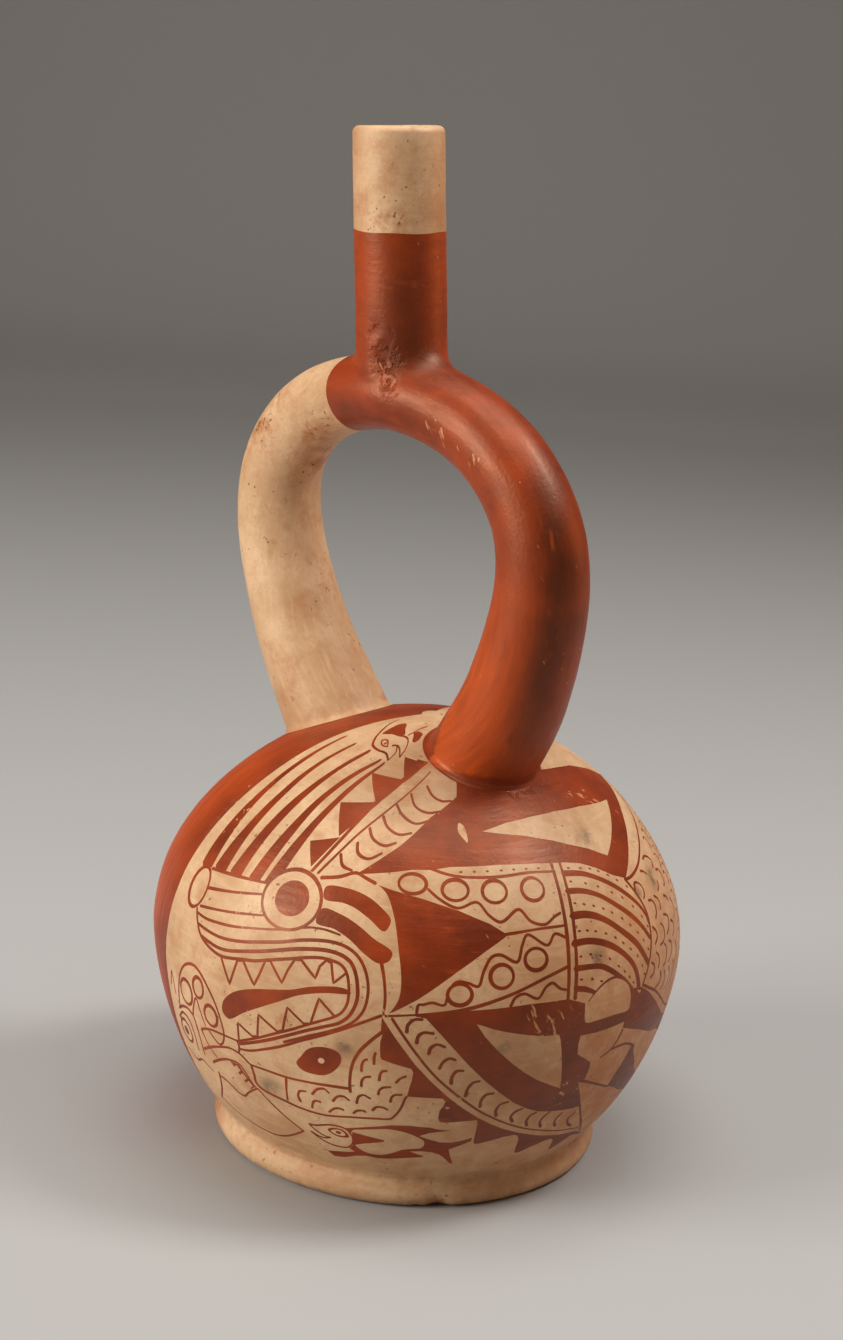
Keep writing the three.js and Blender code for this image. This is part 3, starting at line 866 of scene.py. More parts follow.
    def fin_panel(self) -> None:
        """Draws the scale-marked fin below the mouth and the dotted disc beside it."""
        top = [(-68.9, -1.4), (-71, -3.4), (-73, -5.6), (-75, -8.2), (-76.6, -11.6), (-77.4, -15),
               (-77.7, -19), (-77.6, -22)]
        low = [(-109.3, -21.6), (-109, -25), (-109.1, -27.6), (-107.5, -29.3), (-100, -31), (-94, -32.2),
               (-86, -32.5), (-78, -31.3), (-70, -30.4), (-66, -30), (-64.6, -28.6), (-63, -25.5),
               (-62, -22), (-61.6, -21.2)]
        level = [(-78, -20.9), (-84, -21.2), (-90, -21.6), (-96, -21.9), (-103, -21.5), (-109.4, -21.4)]
        self.shape(top + level + low[
            1:] + [(-60.7, -16), (-60.4, -12.8), (-66, -10.8), (-69.3, -9.8), (-69.7, -5)], Slip.CREAM)
        self.stroke(top, 1.15)
        self.stroke(level, 0.95)
        self.stroke(low, 0.95)
        self.stroke([(-97.3, -21.7), (-97.9, -26), (-98.3, -30.6)], 0.85)
        arcs = [
            [(-93.7, -29.6), (-94.2, -27.5), (-93.4, -25.7), (-91.3, -25.2)], [(-89.4, -25.6),
             (-87.6, -23.4), (-85.5, -22.7), (-84, -23.8)],
            [(-83, -26.4), (-81.4, -24.4), (-79.6, -24), (-78, -25)], [(-90, -30.8), (-89.4, -28.6),
             (-88.4, -27.7), (-86.9, -27.8)],
            [(-84.5, -30.9), (-82.8, -29.2), (-81.4, -28.7), (-79.8, -29)], [(-76.9, -29.6), (-75.8, -28.4),
             (-74, -28), (-73.2, -28.4)],
            [(-71.2, -27.4), (-70, -26), (-68, -25.9), (-66.7, -26.6)], [(-75.8, -25.6), (-75.2, -23.2),
             (-73.8, -22.3), (-71.8, -23.2)],
            [(-74.4, -19.4), (-74.2, -17.4), (-73.4, -16.2), (-71.8, -15.7)], [(-74.4, -14.4),
             (-74.3, -12.4), (-73.8, -11), (-72.9, -10.3)],
            [(-71, -11.6), (-71, -9.4), (-70.7, -8)], [(-69.4, -16.6), (-69.2, -14.6), (-68.6, -13.5),
             (-67.4, -13.2)],
            [(-69.6, -21.4), (-69.2, -19.7), (-68.2, -18.8), (-66.2, -18.4)], [(-66.1, -23.6),
             (-65.8, -21.9), (-65, -21), (-63, -20.7)],
            [(-64.8, -16.8), (-63.8, -15.4), (-62.2, -14.4)],
        ]
        for arc in arcs:
            self.stroke(arc, 0.9, tail=0.8)
        self.blob([
            (-93.5, -16), (-92, -17.8), (-89, -18.4), (-85, -17.9), (-82, -15.7), (-80.3, -13),
            (-80.2, -10.7), (-81.5, -9.4), (-84.5, -8.9), (-87.5, -9.4), (-90, -10.8), (-91.8, -13.2)])
        self.oval((-85.9, -13.4), 1.0, 0.9, Slip.CREAM, lean=20)

    def limbs(self) -> None:
        """Draws the hand under the striped body and the two red sleeves that run round the side."""
        self.shape([
            (-12.6, 0), (-8, 5.4), (8.5, 4), (11, 3.6), (14, 1.8), (17, -0.4), (20, -2.8), (25, -6.6),
            (32, -11.6), (46, -17), (62, -20.5), (62, -27), (46, -23.4), (33, -17), (25, -15), (20, -13),
            (15, -10.8), (10, -9), (4.5, -7), (4.4, -5.1), (0, -5.4), (-6, -5.6), (-12.4, -5.3)])
        self.area(Slip.CREAM, np.array([(8.9, 3.2), (11, 2.6), (10.2, 1.9)]))
        self.stroke([(-10.6, 4.3), (-8, 6.6), (-5, 8.3), (-2, 9.1), (0.4, 8.9), (3.2, 7.6), (5.2, 5.4)], 0.8)
        self.blob([
            (-11.9, 0.4), (-11.5, 3), (-10, 4.8), (-8, 6.4), (-5, 8), (-2, 8.7), (0.2, 8.5), (3, 7.3),
            (5, 5.4), (5.9, 3), (6.1, 0.4), (5.6, -1.6), (0, -1.7), (-6, -1.8), (-11.2, -1.6)], Slip.CREAM)
        self.shape([
            (-12.4, -5.6), (-6, -5.8), (0, -5.6), (4.7, -5.3), (4.5, -7.8), (3.4, -10.6), (1.2, -13.4),
            (-2.4, -15), (-5.9, -15.4), (-8.2, -13.8), (-12.2, -11.2), (-12.7, -8)], Slip.CREAM)
        self.stroke([(4.7, -7.6), (3.6, -10.4), (1.6, -13), (-2.3, -14.8)], 0.85)
        self.stroke([(1.3, -13.2), (4, -13), (8, -13.2), (11, -14.2), (14, -15.8), (15, -17)], 0.9, tail=1.0)
        self.shape([
            (12.9, -15.6), (14.8, -16.6), (16, -18.6), (19, -21.6), (22, -25), (26, -28.6), (34, -33),
            (60, -39), (60, -45.5), (40, -41.4), (22, -34.6), (18, -33), (14, -30.6), (10, -28.8),
            (7.4, -27.4), (10, -21.6)])
        self.stroke([(-8.4, -21), (-5, -22.2), (0, -24.4), (4, -26.2), (8, -28)], 0.9)

    def fish(self) -> None:
        """Draws the small fish below the fin."""
        self.shape([
            (-79.8, -36.2), (-74, -34.6), (-66, -32.6), (-60, -32.3), (-54, -32.9), (-51, -33.8),
            (-47, -34.2), (-51, -34.8), (-54, -35.3), (-56.8, -36.6), (-54, -38), (-50, -39.5), (-46, -39.8),
            (-43, -39), (-39.9, -37.8), (-39.8, -39.5), (-44, -41.8), (-46.5, -43.2), (-45.6, -46),
            (-43.4, -51.2), (-45, -50.2), (-47.4, -47.4), (-49.4, -45.6), (-52, -44.4), (-55, -43.9),
            (-59.4, -44), (-56.6, -45.4), (-54.4, -46.3), (-55, -46.9), (-60, -47.4), (-66, -48.2),
            (-70, -48.4), (-74, -47.8), (-78, -48.8), (-82, -50.6), (-86, -51.2), (-88.2, -49.1), (-84, -48),
            (-80, -47.3), (-77.8, -46.6), (-79.6, -45.3), (-78, -43.4)])
        self.blob([
            (-77.8, -36.9), (-74, -35.6), (-70, -34.8), (-66.5, -34.3), (-63, -34.8), (-60, -35.8),
            (-58, -36.8), (-56.2, -38), (-55.2, -39), (-55, -41), (-56, -42.3), (-59, -42.8), (-62, -43.4),
            (-64.4, -44.8), (-67, -46), (-70, -46.6), (-74, -46), (-76, -44.7), (-77.3, -43)], Slip.CREAM)
        self.shape([(-77.8, -37.4), (-74, -38), (-70, -38.8), (-67.7, -39.3), (-67.8, -40), (-70, -40.7),
                    (-74, -41.8), (-77.4, -43.1), (-78.2, -42), (-77.8, -40)])
        self.blob([(-92.4, -38.4), (-88, -37.2), (-84, -36.1), (-80.4, -36.4), (-78.3, -38.6), (-77.9, -41),
                   (-78.8, -43.6), (-80.6, -45.2), (-84, -45.3), (-88, -44.3), (-92, -41.8)], Slip.CREAM)
        self.stroke([
            (-92.4, -38.1), (-90.4, -38), (-88, -37.2), (-85, -36.2), (-82, -36), (-79.8, -36.6),
            (-78.4, -38.2), (-77.8, -40), (-77.9, -42), (-79, -44), (-80.4, -45.1), (-83.5, -45.4),
            (-87, -44.8), (-90.4, -43.1), (-92.4, -41.6)], 0.75)
        self.stroke([(-92.2, -38.4), (-90.8, -39.8), (-89, -41.1), (-87, -41.9), (-85.6, -41.9),
                     (-88, -42.8), (-90.4, -42.4), (-92.3, -41.3)], 0.7)
        self.blob([(-86, -38.6), (-84.4, -37.3), (-82, -37), (-80, -37.8), (-79, -39.9), (-81, -40.6),
                   (-83, -40.6), (-84.8, -39.8)])
        self.blob([(-85, -38.7), (-83.8, -37.9), (-82, -37.6), (-80.6, -38.3), (-80.2, -39.5), (-82.4, -40),
                   (-84, -39.6)], Slip.CREAM)
        self.oval((-82.4, -38.8), 1.0, 0.65)

    def hand(self) -> None:
        """Draws the ringed hand and the round-bladed knife in front of the creature."""
        self.stroke([
            (-142.6, -15.4), (-141, -7.4), (-139.4, -3.4), (-137, -0.4), (-134, 1.2), (-131, 1.5),
            (-127.6, 0.2), (-123, -3.7), (-120.5, -7), (-119, -11), (-118.5, -14.4), (-119.6, -17.6),
            (-121.4, -18.9), (-124, -17.4), (-125.6, -15.9)], 0.9)
        for x, y, wide, high in ((-136.2, -8, 3.5, 3.7), (-129.3, -4.1, 2.6, 3), (-123.6, -10.6, 2.9, 3.1)):
            self.ring((x, y), wide, high)
        self.stroke([(-133.6, -14.4), (-132.4, -11), (-130.5, -7.8), (-128.7, -11.2), (-127, -15)], 0.85)
        self.stroke([(-129.9, -17.4), (-127.6, -16.2), (-124, -15.2), (-118, -14.8), (-112.8, -14.7)], 0.9)
        self.stroke([(-129.7, -17.4), (-128, -21), (-126.6, -23), (-124.6, -24.6)], 0.85)
        self.stroke([(-131.6, -24.6), (-126, -21.6), (-121, -19.6), (-117, -18.5), (-113, -19),
                     (-110.4, -20.8), (-109.2, -21.6)], 0.9)
        self.stroke([(-128.4, -28), (-124.6, -25.6), (-121, -23.8), (-118.6, -23), (-114.4, -22.9),
                     (-112.6, -25), (-111.2, -28), (-109.9, -30)], 0.9)
        self.shape([(-118.4, -23.2), (-114.6, -23.2), (-110.4, -29.8), (-112.4, -31.6)])
        for x, y in ((-116.7, -24.6), (-114.9, -26.8), (-113.2, -29.0)):
            self.shape([
                (x - 0.6, y - 0.5), (x + 1.0, y + 0.8), (x + 2.2, y - 0.7), (x + 0.6, y - 2.0)], Slip.CREAM)
        self.stroke([(-126.8, -32.4), (-124, -33), (-121.8, -34.6), (-119.8, -35.9), (-117.4, -36.2),
                     (-114.8, -34), (-112, -31.8), (-109.3, -30)], 0.9)
        self.stroke([(-127, -31), (-128.4, -35), (-131, -39.4), (-135.6, -44.5)], 0.9)
        self.stroke([(-109.2, -30), (-106.6, -32.8), (-102, -37.4), (-95.4, -42.4)], 0.85)
        self.stroke([(-95.4, -42.4), (-100, -45.8), (-105, -48.6), (-110, -50.2), (-116, -50.4),
                     (-122, -49.6), (-130, -47.6), (-135.6, -44.5)], 0.8)
        self.stroke([(-147.4, -10), (-146, -5.4), (-144.4, -12)], 0.9)
        self.ring((-141.4, -22.4), 3.6, 3.6)
        self.oval((-141.4, -22.4), 1.6, 1.5)
        self.stroke([(-143.6, -16), (-140, -14), (-136.6, -13.4), (-133.6, -14.6), (-132.4, -18),
                     (-132, -23), (-132.4, -27)], 0.95)
        self.stroke([(-145, -19.4), (-141, -16.4), (-137, -17.4), (-135.4, -22), (-136, -27)], 0.9)
        self.stroke([(-146.6, -30.6), (-141, -32.4), (-136, -30.4), (-131, -32.4)], 0.9)

    def bird_head(self) -> None:
        """Draws the small head at the crown, beside the roots of the legs."""
        self.blob([(-119.6, 97.4), (-114, 98.8), (-108, 98.4), (-100, 95.4), (-93.6, 92.6), (-98, 91.6),
                   (-106, 91.3), (-113, 90.2), (-117, 89.8), (-119.2, 93)])
        self.stroke([(-139, 99.6), (-131, 95.4), (-122, 90.4), (-116, 86.4), (-111, 83.6), (-103, 82),
                     (-94.6, 81.2), (-90, 78.6)], 1.3)
        self.stroke([(-117, 90.4), (-108, 91.6), (-97, 91.4), (-90, 91.2), (-85, 89.6), (-82.6, 85.6),
                     (-83.4, 80.8)], 1.3)
        self.stroke([(-95.4, 85.6), (-91.6, 85.8), (-88.4, 82.6), (-89.6, 79)], 1.0)
        self.stroke([(-95.2, 85.4), (-91, 86), (-86.6, 84), (-83.6, 80.8)], 1.0)
        self.blob([(-109.4, 87), (-104, 87.9), (-98, 84.4), (-104, 84.4)])
        self.blob([(-107.4, 86.7), (-104, 87.1), (-99.8, 84.9), (-104, 85.1)], Slip.CREAM)
        self.oval((-102.8, 85.8), 1.2, 0.7)
        self.stroke([(-89, 92.6), (-85.4, 94.4), (-80, 97.4), (-70, 99.6)], 1.2)
        self.shape([(-85, 94.4), (-80, 95.8), (-75.6, 95.2), (-72.2, 94.2), (-74.4, 90.6), (-77.6, 88.9),
                    (-80.6, 89.4), (-82, 92)])

    def back_side(self) -> None:
        """Paints the plainer back: tail fins, a panel, a second fish and a dotted disc in the same hand."""
        self.stroke([(74, 53), (92, 55), (108, 50), (122, 40), (131, 30), (137, 24)], 0.95)
        self.stroke([(60, -16), (80, -15), (100, -9), (116, 0), (128, 9), (137, 14)], 0.95)
        self.stroke([(60, -18), (81, -17), (101, -11), (117, -2), (129, 7), (138, 12)], 0.95)
        self.shape([(134, 26.5), (141, 36), (147.5, 48), (146.5, 34), (143, 22), (147, 10), (147.5, -6),
                    (141, 3), (134, 12), (137, 19)])
        self.shape([(141.6, 31), (145.2, 40), (144.4, 31), (142.4, 24)], Slip.CREAM)
        self.mirrored = True
        self.moved = (-22.0, 2.0)
        self.crest_of_back()
        self.moved = (-8.0, 0.0)
        self.fish()
        self.moved = (0.0, 0.0)
        self.mirrored = False
        for start in (66, 92):
            self.shape([
                (start, -27), (start + 22, -23), (start + 16, -31), (start + 19, -38), (start + 8, -34)])
            self.shape([(start + 7, -28.4), (start + 16, -26.4), (start + 11, -31.4)], Slip.CREAM)
        self.blob([
            (122, -20), (126, -14.6), (132, -13.4), (137, -15.4), (136, -19.4), (131, -22.6), (126, -22.8)])
        self.oval((129.6, -18), 1.2, 1.0, Slip.CREAM)

    def crest_of_back(self) -> None:
        """Paints short tapering spines along the tail's upper edge."""
        for index in range(6):
            x = -118 + 9.5 * index
            low = 46 - 0.055 * (index - 2.6) ** 2 * 24 + 6
            self.stroke([(x, low), (x + 2.6, low + 12), (x + 8.4, low + 24 - index)], 4.4, tail=0.35)


# Dressing the vessel


@dataclass
class Vessel:
    """The whole bottle as one closed mesh: the outer skin, the lip and the hollow inside."""

    wall: float = 5.0
    stirrup_wall: float = 3.6
    ring_count: int = 96
    foot_count: int = 288
    spacing: float = 1.7
    tube_spacing: float = 1.6
    hollow_spacing: float = 4.0
    leg_fillet: float = 1.7
    spout_fillet: float = 7.0
    side_fillet: float = 3.0
    spout_base_radius: float = 12.8
    spout_rim_radius: float = 12.4
    spout_bore_radius: float = 8.6
    rim_round: float = 1.7
    mouth_round: float = 1.0
    arch_middle: float = 165.0
    spout_cream_height: float = 262.2
    tilt: float = 3.6
    tilt_start: float = 232.0
    tilt_end: float = 282.0
    tilt_toward: float = 43.9
    arch_cream_start: float = -17.5
    foot_radius: float = 56.6
    foot_ring_width: float = 10.0
    foot_recess: float = 4.5
    floor_thickness: float = 6.5

    def __post_init__(self) -> None:
        """Prepares the forms."""
        self.skin = Skin()
        self.chamber = ChamberForm()
        self.stirrup = StirrupForm()
        self.cavity = ChamberForm(inset=self.wall, lowest=self.foot_recess + self.floor_thickness)
        self.passage = StirrupForm(inset=self.stirrup_wall)
        self.painting = SeaCreature().paint(self.chamber)
        self.turn = np.linspace(0, TURN, self.ring_count, endpoint=False)
        self.outward = np.stack([np.cos(self.turn), np.sin(self.turn), np.zeros(self.ring_count)], axis=1)

    def build(self) -> bpy.types.Object:
        """Builds the mesh.

        Returns:
            The vessel's object, not yet dressed.
        """
        coarse = self.hollow_spacing
        outer_arch = self.clad(self.chamber, self.stirrup, self.spacing, self.tube_spacing,
                               self.painting.areas, 1.0)
        inner_arch = self.clad(self.cavity, self.passage, coarse, coarse, [], 0.45)
        self.spout(outer_arch, inner_arch)
        self.foot()
        self.floor()
        return self.finished_object()

    def clad(self, chamber: ChamberForm, stirrup: StirrupForm, spacing: float, tube_spacing: float,
             areas: Sequence[tuple[Slip, Array]], fillet: float) -> tuple[Array, Array]:
        """Adds the chamber, the legs' seats and the stirrup of the outer skin or of the hollow.

        Args:
            chamber: The chamber's form.
            stirrup: The stirrup's form.
            spacing: The distance of the points on the chamber.
            tube_spacing: The distance of the points on the stirrup.
            areas: The painted areas.
            fillet: The size of the fillets as a share of the outer ones.

        Returns:
            The edge of the hole for the spout, and the corner where spout and arch would meet.
        """
        painted = bool(areas)
        seats, starts = [], {}
        for side in (1, -1):
            chamber_edge, strip, start = self.leg_seat(chamber, stirrup, side, self.leg_fillet * fillet)
            seats.append(chamber_edge)
            starts[side] = start
            slip = (Slip.RED if side > 0 else Slip.CREAM) if painted else Slip.CLAY
            block = Blocks.JOINTS if painted else Blocks.HOLLOW
            self.skin.add_rows(strip, [slip], self.leg_brushing, block)
        self.chamber_wall(chamber, seats, spacing, areas, painted)
        hole, corner = self.spout_seat(stirrup, fillet)
        self.tube_wall(stirrup, starts, hole, tube_spacing, painted)
        return stirrup.surface(hole[:, 0], hole[:, 1]), corner

    def leg_brushing(self, points: Array) -> Array:
        """Stretches space so that noise runs in strokes up the legs and over the arch."""
        x, y, up = points[:, 0], points[:, 1], points[:, 2] - self.arch_middle
        return np.stack([np.hypot(x, up), y, 6.4 * np.arctan2(x, up)], axis=1)

    def spout_brushing(self, points: Array) -> Array:
        """Stretches space so that noise runs in level strokes round the spout."""
        x, y, up = points[:, 0], points[:, 1], points[:, 2] - self.arch_middle
        return np.stack([up, 0.15 * y - 8.5, 0.15 * x], axis=1)

    def chamber_brushing(self, points: Array) -> Array:
        """Stretches space so that noise runs in strokes, level on the picture, upright on the red band."""
        x, y, up = points.T
        angle, out = np.arctan2(y, x), np.hypot(x, y)
        band = np.abs(angle) > SeaCreature.band_edge / self.chamber.sheet_radius
        width = np.where(band, self.chamber.sheet_radius, 8.0)
        height = np.where(band, 0.1 * (up - out), up - 0.5 * out)
        return np.stack([width * np.cos(angle), width * np.sin(angle), height], axis=1)

    def leg_seat(self, chamber: ChamberForm, stirrup: StirrupForm, side: int,
                 reach: float) -> tuple[Array, list[Array], Array]:
        """Rounds a leg's root into the chamber.

        Args:
            chamber: The chamber's form.
            stirrup: The stirrup's form.
            side: 1 for the near leg and -1 for the far one.
            reach: How far the rounding reaches on both.

        Returns:
            The rounding's edge on the chamber's sheet, its rings and the leg's first lengths.
        """
        around = self.turn
        low, high = np.full(len(around), side * (stirrup.half - 1.0)), np.full(len(around), side * 90.0)
        corner = crossing(lambda along: stirrup.surface(along, around), chamber.level, low, high)
        corners = stirrup.surface(corner, around)
        edge = chamber.sheet_of(corners + reach * stirrup.directions(corner, around))
        start = corner - side * reach
        strip = rounding(chamber.surface(edge), corners, stirrup.surface(start, around), 7)
        return edge, strip, start

    def chamber_wall(self, chamber: ChamberForm, seats: Sequence[Array], spacing: float,
                     areas: Sequence[tuple[Slip, Array]], painted: bool) -> None:
        """Adds the chamber's surface with its two holes, cut along the painted outlines."""
        turn = np.linspace(-math.pi, math.pi, self.foot_count, endpoint=False) * chamber.sheet_radius
        rim = np.stack([turn, np.full(len(turn), chamber.sheet_low)], axis=1)
        outlines = [outline for _, outline in areas]
        inner = self.chamber_grid(chamber, spacing, [rim, *seats, *outlines], painted)
        holes = [chamber.disc(seat) for seat in seats]
        closed = [chamber.disc(line) for line in [rim, *outlines]] + holes
        disc, faces = triangulated(closed, [], chamber.disc(inner))
        middle = disc[faces].mean(axis=1)
        keep = np.hypot(middle[:, 0], middle[:, 1]) < math.exp(chamber.log_disc[0])
        for hole in holes:
            keep &= ~winds_round(hole, middle)
        edges = disc[faces]
        area = np.abs(np.cross(edges[:, 1] - edges[:, 0], edges[:, 2] - edges[:, 0]))
        faces, middle = faces[keep & (area > 0)], middle[keep & (area > 0)]
        sheet = chamber.sheet_of_disc(disc)
        points = chamber.surface(sheet)
        reach = 2 * math.exp(chamber.log_disc[0])
        flat = disc[faces] / reach + 0.5
        if painted:
            slips = self.colours(chamber.sheet_of_disc(middle), areas)
            red = (slips == Slip.RED.value)[:, None, None]
            maps = np.where(red, Blocks.RED_DISC.place(flat), Blocks.CREAM_DISC.place(flat))
        else:
            slips = np.full(len(faces), Slip.CLAY.value)
            maps = Blocks.HOLLOW.place(flat)
        self.skin.add(points, faces, slips, self.chamber_brushing(points), maps)
        log.info("chamber wall: %d triangles", len(faces))

    def chamber_grid(self, chamber: ChamberForm, spacing: float, lines: Sequence[Array],
                     painted: bool) -> Array:
        """Spreads points over the chamber's sheet, in staggered rings, clear of the given lines."""
        low, high = chamber.sheet_low, float(chamber.lengths[-1])
        rings = []
        for row, y in enumerate(np.arange(low + spacing * 0.8, high - spacing * 0.5, spacing * 0.87)):
            out = float(np.interp(y, chamber.lengths, chamber.radii))
            count = max(6, round(TURN * out / spacing))
            angle = (np.arange(count) + 0.5 * (row % 2)) / count * TURN - math.pi
            rings.append(np.stack([angle * chamber.sheet_radius, np.full(count, y)], axis=1))
        grid = np.vstack(rings + [np.array([[0.0, high - 0.02]])])
        cell = 0.62 * spacing if painted else 0.4 * spacing
        taken = set()
        for line in lines:
            closed = evenly(line, cell * 0.7, closed=True)
            points = chamber.surface(closed) / cell
            taken.update(map(tuple, np.floor(points).astype(int)))
        cells = np.floor(chamber.surface(grid) / cell).astype(int)
        steps = [(i, j, k) for i in (-1, 0, 1) for j in (-1, 0, 1) for k in (-1, 0, 1)]
        free = [not any((x + i, y + j, z + k) in taken for i, j, k in steps) for x, y, z in cells]
        return grid[np.array(free)]

    def colours(self, places: Array, areas: Sequence[tuple[Slip, Array]]) -> Array:
        """Returns the slip of each place on the sheet, the last area that covers it."""
        slips = np.full(len(places), Slip.CREAM.value)
        order = np.argsort(places[:, 0])
        sorted_x = places[order, 0]
        turn = self.chamber.sheet_turn
        for slip, whole in areas:
            # An area across the sheet's seam is looked for on both of its ends
            for outline in (whole, whole - (turn, 0.0)) if whole[:, 0].max() > turn / 2 else (whole,):
                first, last = np.searchsorted(sorted_x, (outline[:, 0].min(), outline[:, 0].max()))
                some = order[first:last]
                y = places[some, 1]
                some = some[(y >= outline[:, 1].min()) & (y <= outline[:, 1].max())]
                if len(some):
                    slips[some[winds_round(outline, places[some])]] = slip.value
        return slips

    def spout_axis(self, height: Array) -> Array:
        """Returns the middle of the spout at heights."""
        return np.hstack([self.stirrup.lean(height), np.asarray(height, float)[:, None]])

    def spout_ring(self, radius: Array | float, height: Array) -> Array:
        """Returns a ring of the spout at heights that may differ round it.

        The mouth isn't quite level: it rises to the camera's right, as thrown by hand.
        """
        out = self.outward
        ring = self.spout_axis(height) + out * np.broadcast_to(radius, len(self.turn))[:, None]
        share = ramp(np.asarray(height), self.tilt_start, self.tilt_end)
        toward = math.radians(self.tilt_toward)
        rise = (out[:, 0] * math.cos(toward) + out[:, 1] * math.sin(toward)) * radius
        ring[:, 2] += math.tan(math.radians(self.tilt)) * rise * share
        return ring

    def spout_seat(self, stirrup: StirrupForm, fillet: float) -> tuple[Array, Array]:
        """Finds where the spout meets the arch.

        Args:
            stirrup: The stirrup's form.
            fillet: The size of the rounding as a share of the outer one.

        Returns:
            The edge of the hole as lengths and angles, and the corner in space.
        """
        radius = self.spout_base_radius if stirrup.inset == 0 else self.spout_bore_radius
        top = stirrup.crown + stirrup.arch_rise
        low = np.full(self.ring_count, top)
        heights = crossing(lambda z: self.spout_ring(radius, z), stirrup.level, low, low + 25.0)
        corner = self.spout_ring(radius, heights)
        reach = fillet * between(self.spout_fillet, self.side_fillet, np.sin(self.turn) ** 2)
        along, around = stirrup.place_near(corner + self.outward * reach[:, None])
        return np.stack([along, around], axis=1), corner

    def tube_wall(self, stirrup: StirrupForm, starts: dict[int, Array], hole: Array, spacing: float,
                  painted: bool) -> None:
        """Adds the stirrup's surface: slanted rings at both roots, and between them a net with a hole."""
        ends = {}
        slips = {1: Slip.RED, -1: Slip.CREAM} if painted else {1: Slip.CLAY, -1: Slip.CLAY}
        joints = Blocks.JOINTS if painted else Blocks.HOLLOW
        for side in (1, -1):
            first = starts[side]
            limit = side * (np.abs(first).min() - 6.0)
            rows = max(3, int(np.abs(first - limit).max() / spacing))
            lengths = [between(first, limit, t) for t in np.linspace(0, 1, rows + 1)]
            strip = [stirrup.surface(along, self.turn) for along in lengths]
            self.skin.add_rows(strip, [slips[side]], self.leg_brushing, joints)
            ends[side] = limit
        width = 12.0
        angles = np.concatenate([self.turn, [TURN]]) - math.pi
        sides = [np.stack([np.full(len(angles), ends[side]), angles * width], axis=1) for side in (1, -1)]
        seam = np.arange(ends[-1], ends[1], spacing)[1:]
        seam = seam[(seam < ends[1] - spacing * 0.4)]
        seams = [np.stack([seam, np.full(len(seam), sign * math.pi * width)], axis=1) for sign in (-1, 1)]
        border = np.vstack([sides[0], seams[1][::-1], sides[1][::-1], seams[0]])
        edge = self.arch_edge() * (1.0, width)
        lines = [edge] if painted else []
        net_hole = hole * (1.0, width)
        grid = self.tube_grid(stirrup, ends, spacing, width)
        grid = grid[~winds_round(net_hole, grid)]
        for line in [net_hole] + lines:
            near = np.min(np.linalg.norm(grid[:, None] - evenly(line, 0.8)[None], axis=2), axis=1)
            grid = grid[near > spacing * 0.45]
        flat, faces = triangulated([border, net_hole], lines, grid)
        middle = flat[faces].mean(axis=1)
        faces, middle = faces[~winds_round(net_hole, middle)], middle[~winds_round(net_hole, middle)]
        points = stirrup.surface(flat[:, 0], flat[:, 1] / width)
        if painted:
            limit = np.interp(middle[:, 1], edge[:, 1], edge[:, 0])
            marks = np.where(middle[:, 0] > limit, Slip.RED.value, Slip.CREAM.value)
        else:
            marks = np.full(len(faces), Slip.CLAY.value)
        share = (flat[faces] - (ends[-1], -math.pi * width)) / (ends[1] - ends[-1], TURN * width)
        block = Blocks.STIRRUP if painted else Blocks.HOLLOW
        self.skin.add(points, faces, marks, self.leg_brushing(points), block.place(share))
        log.info("stirrup: %d triangles", len(faces))

    def tube_grid(self, stirrup: StirrupForm, ends: dict[int, float], spacing: float, width: float) -> Array:
        """Spreads points over the stirrup's net, in staggered rings."""
        rings = []
        lengths = np.arange(ends[-1] + spacing * 0.8, ends[1] - spacing * 0.6, spacing * 0.87)
        for row, along in enumerate(lengths):
            radius = float(stirrup.radius(np.array([along]))[0])
            count = max(8, round(TURN * radius / spacing))
            around = (np.arange(count) + 0.25 + 0.5 * (row % 2)) / count * TURN - math.pi
            rings.append(np.stack([np.full(count, along), around * width], axis=1))
        grid = np.vstack(rings)
        return grid[np.abs(grid[:, 1]) < math.pi * width - spacing * 0.4]

    def arch_edge(self) -> Array:
        """Returns the hand-drawn edge between red and cream round the arch, as lengths and angles."""
        around = np.linspace(-math.pi, math.pi, 65)
        sway = 0.7 * np.cos(2 * around + 0.6) + 0.35 * np.cos(3 * around)
        return np.stack([self.arch_cream_start + sway, around], axis=1)

    def spout(self, outer: tuple[Array, Array], inner: tuple[Array, Array]) -> None:
        """Adds the spout from its rounding on the arch, over the lip and down the bore."""
        edge, corner = outer
        reach = between(self.spout_fillet, self.side_fillet, np.sin(self.turn) ** 2)
        first = corner[:, 2] + reach
        high = self.spout_ring(self.spout_base_radius, first)
        self.skin.add_rows(rounding(edge, corner, high, 10), [Slip.RED], self.leg_brushing, Blocks.JOINTS)
        cream = self.spout_cream_height + 0.2 * np.sin(self.turn * 2 + 0.4) + 0.12 * np.sin(self.turn * 5)
        top = self.stirrup.rim
        lip = top - self.rim_round
        inner_edge, inner_corner = inner
        end = inner_corner[:, 2] + self.spout_fillet * 0.4
        level = np.ones(self.ring_count)
        heights = [between(first, cream, t) for t in np.linspace(0, 1, 22)]
        heights += [between(cream, level * lip, t) for t in np.linspace(0, 1, 19)[1:]]
        shares = [(height - first) / (lip - first) for height in heights]
        radii = [between(self.spout_base_radius, self.spout_rim_radius, share) for share in shares]
        slips = [Slip.RED] * 21 + [Slip.CREAM] * 18
        for angle in np.linspace(0, math.pi / 2, 7)[1:]:
            heights.append(level * (lip + self.rim_round * math.sin(angle)))
            radii.append(self.spout_rim_radius - self.rim_round * (1 - math.cos(angle)))
            slips.append(Slip.CREAM)
        for angle in np.linspace(0, math.pi / 2, 5):
            heights.append(level * (top - self.mouth_round * (1 - math.cos(angle))))
            radii.append(self.spout_bore_radius + self.mouth_round * (1 - math.sin(angle)))
            slips.append(Slip.CREAM)
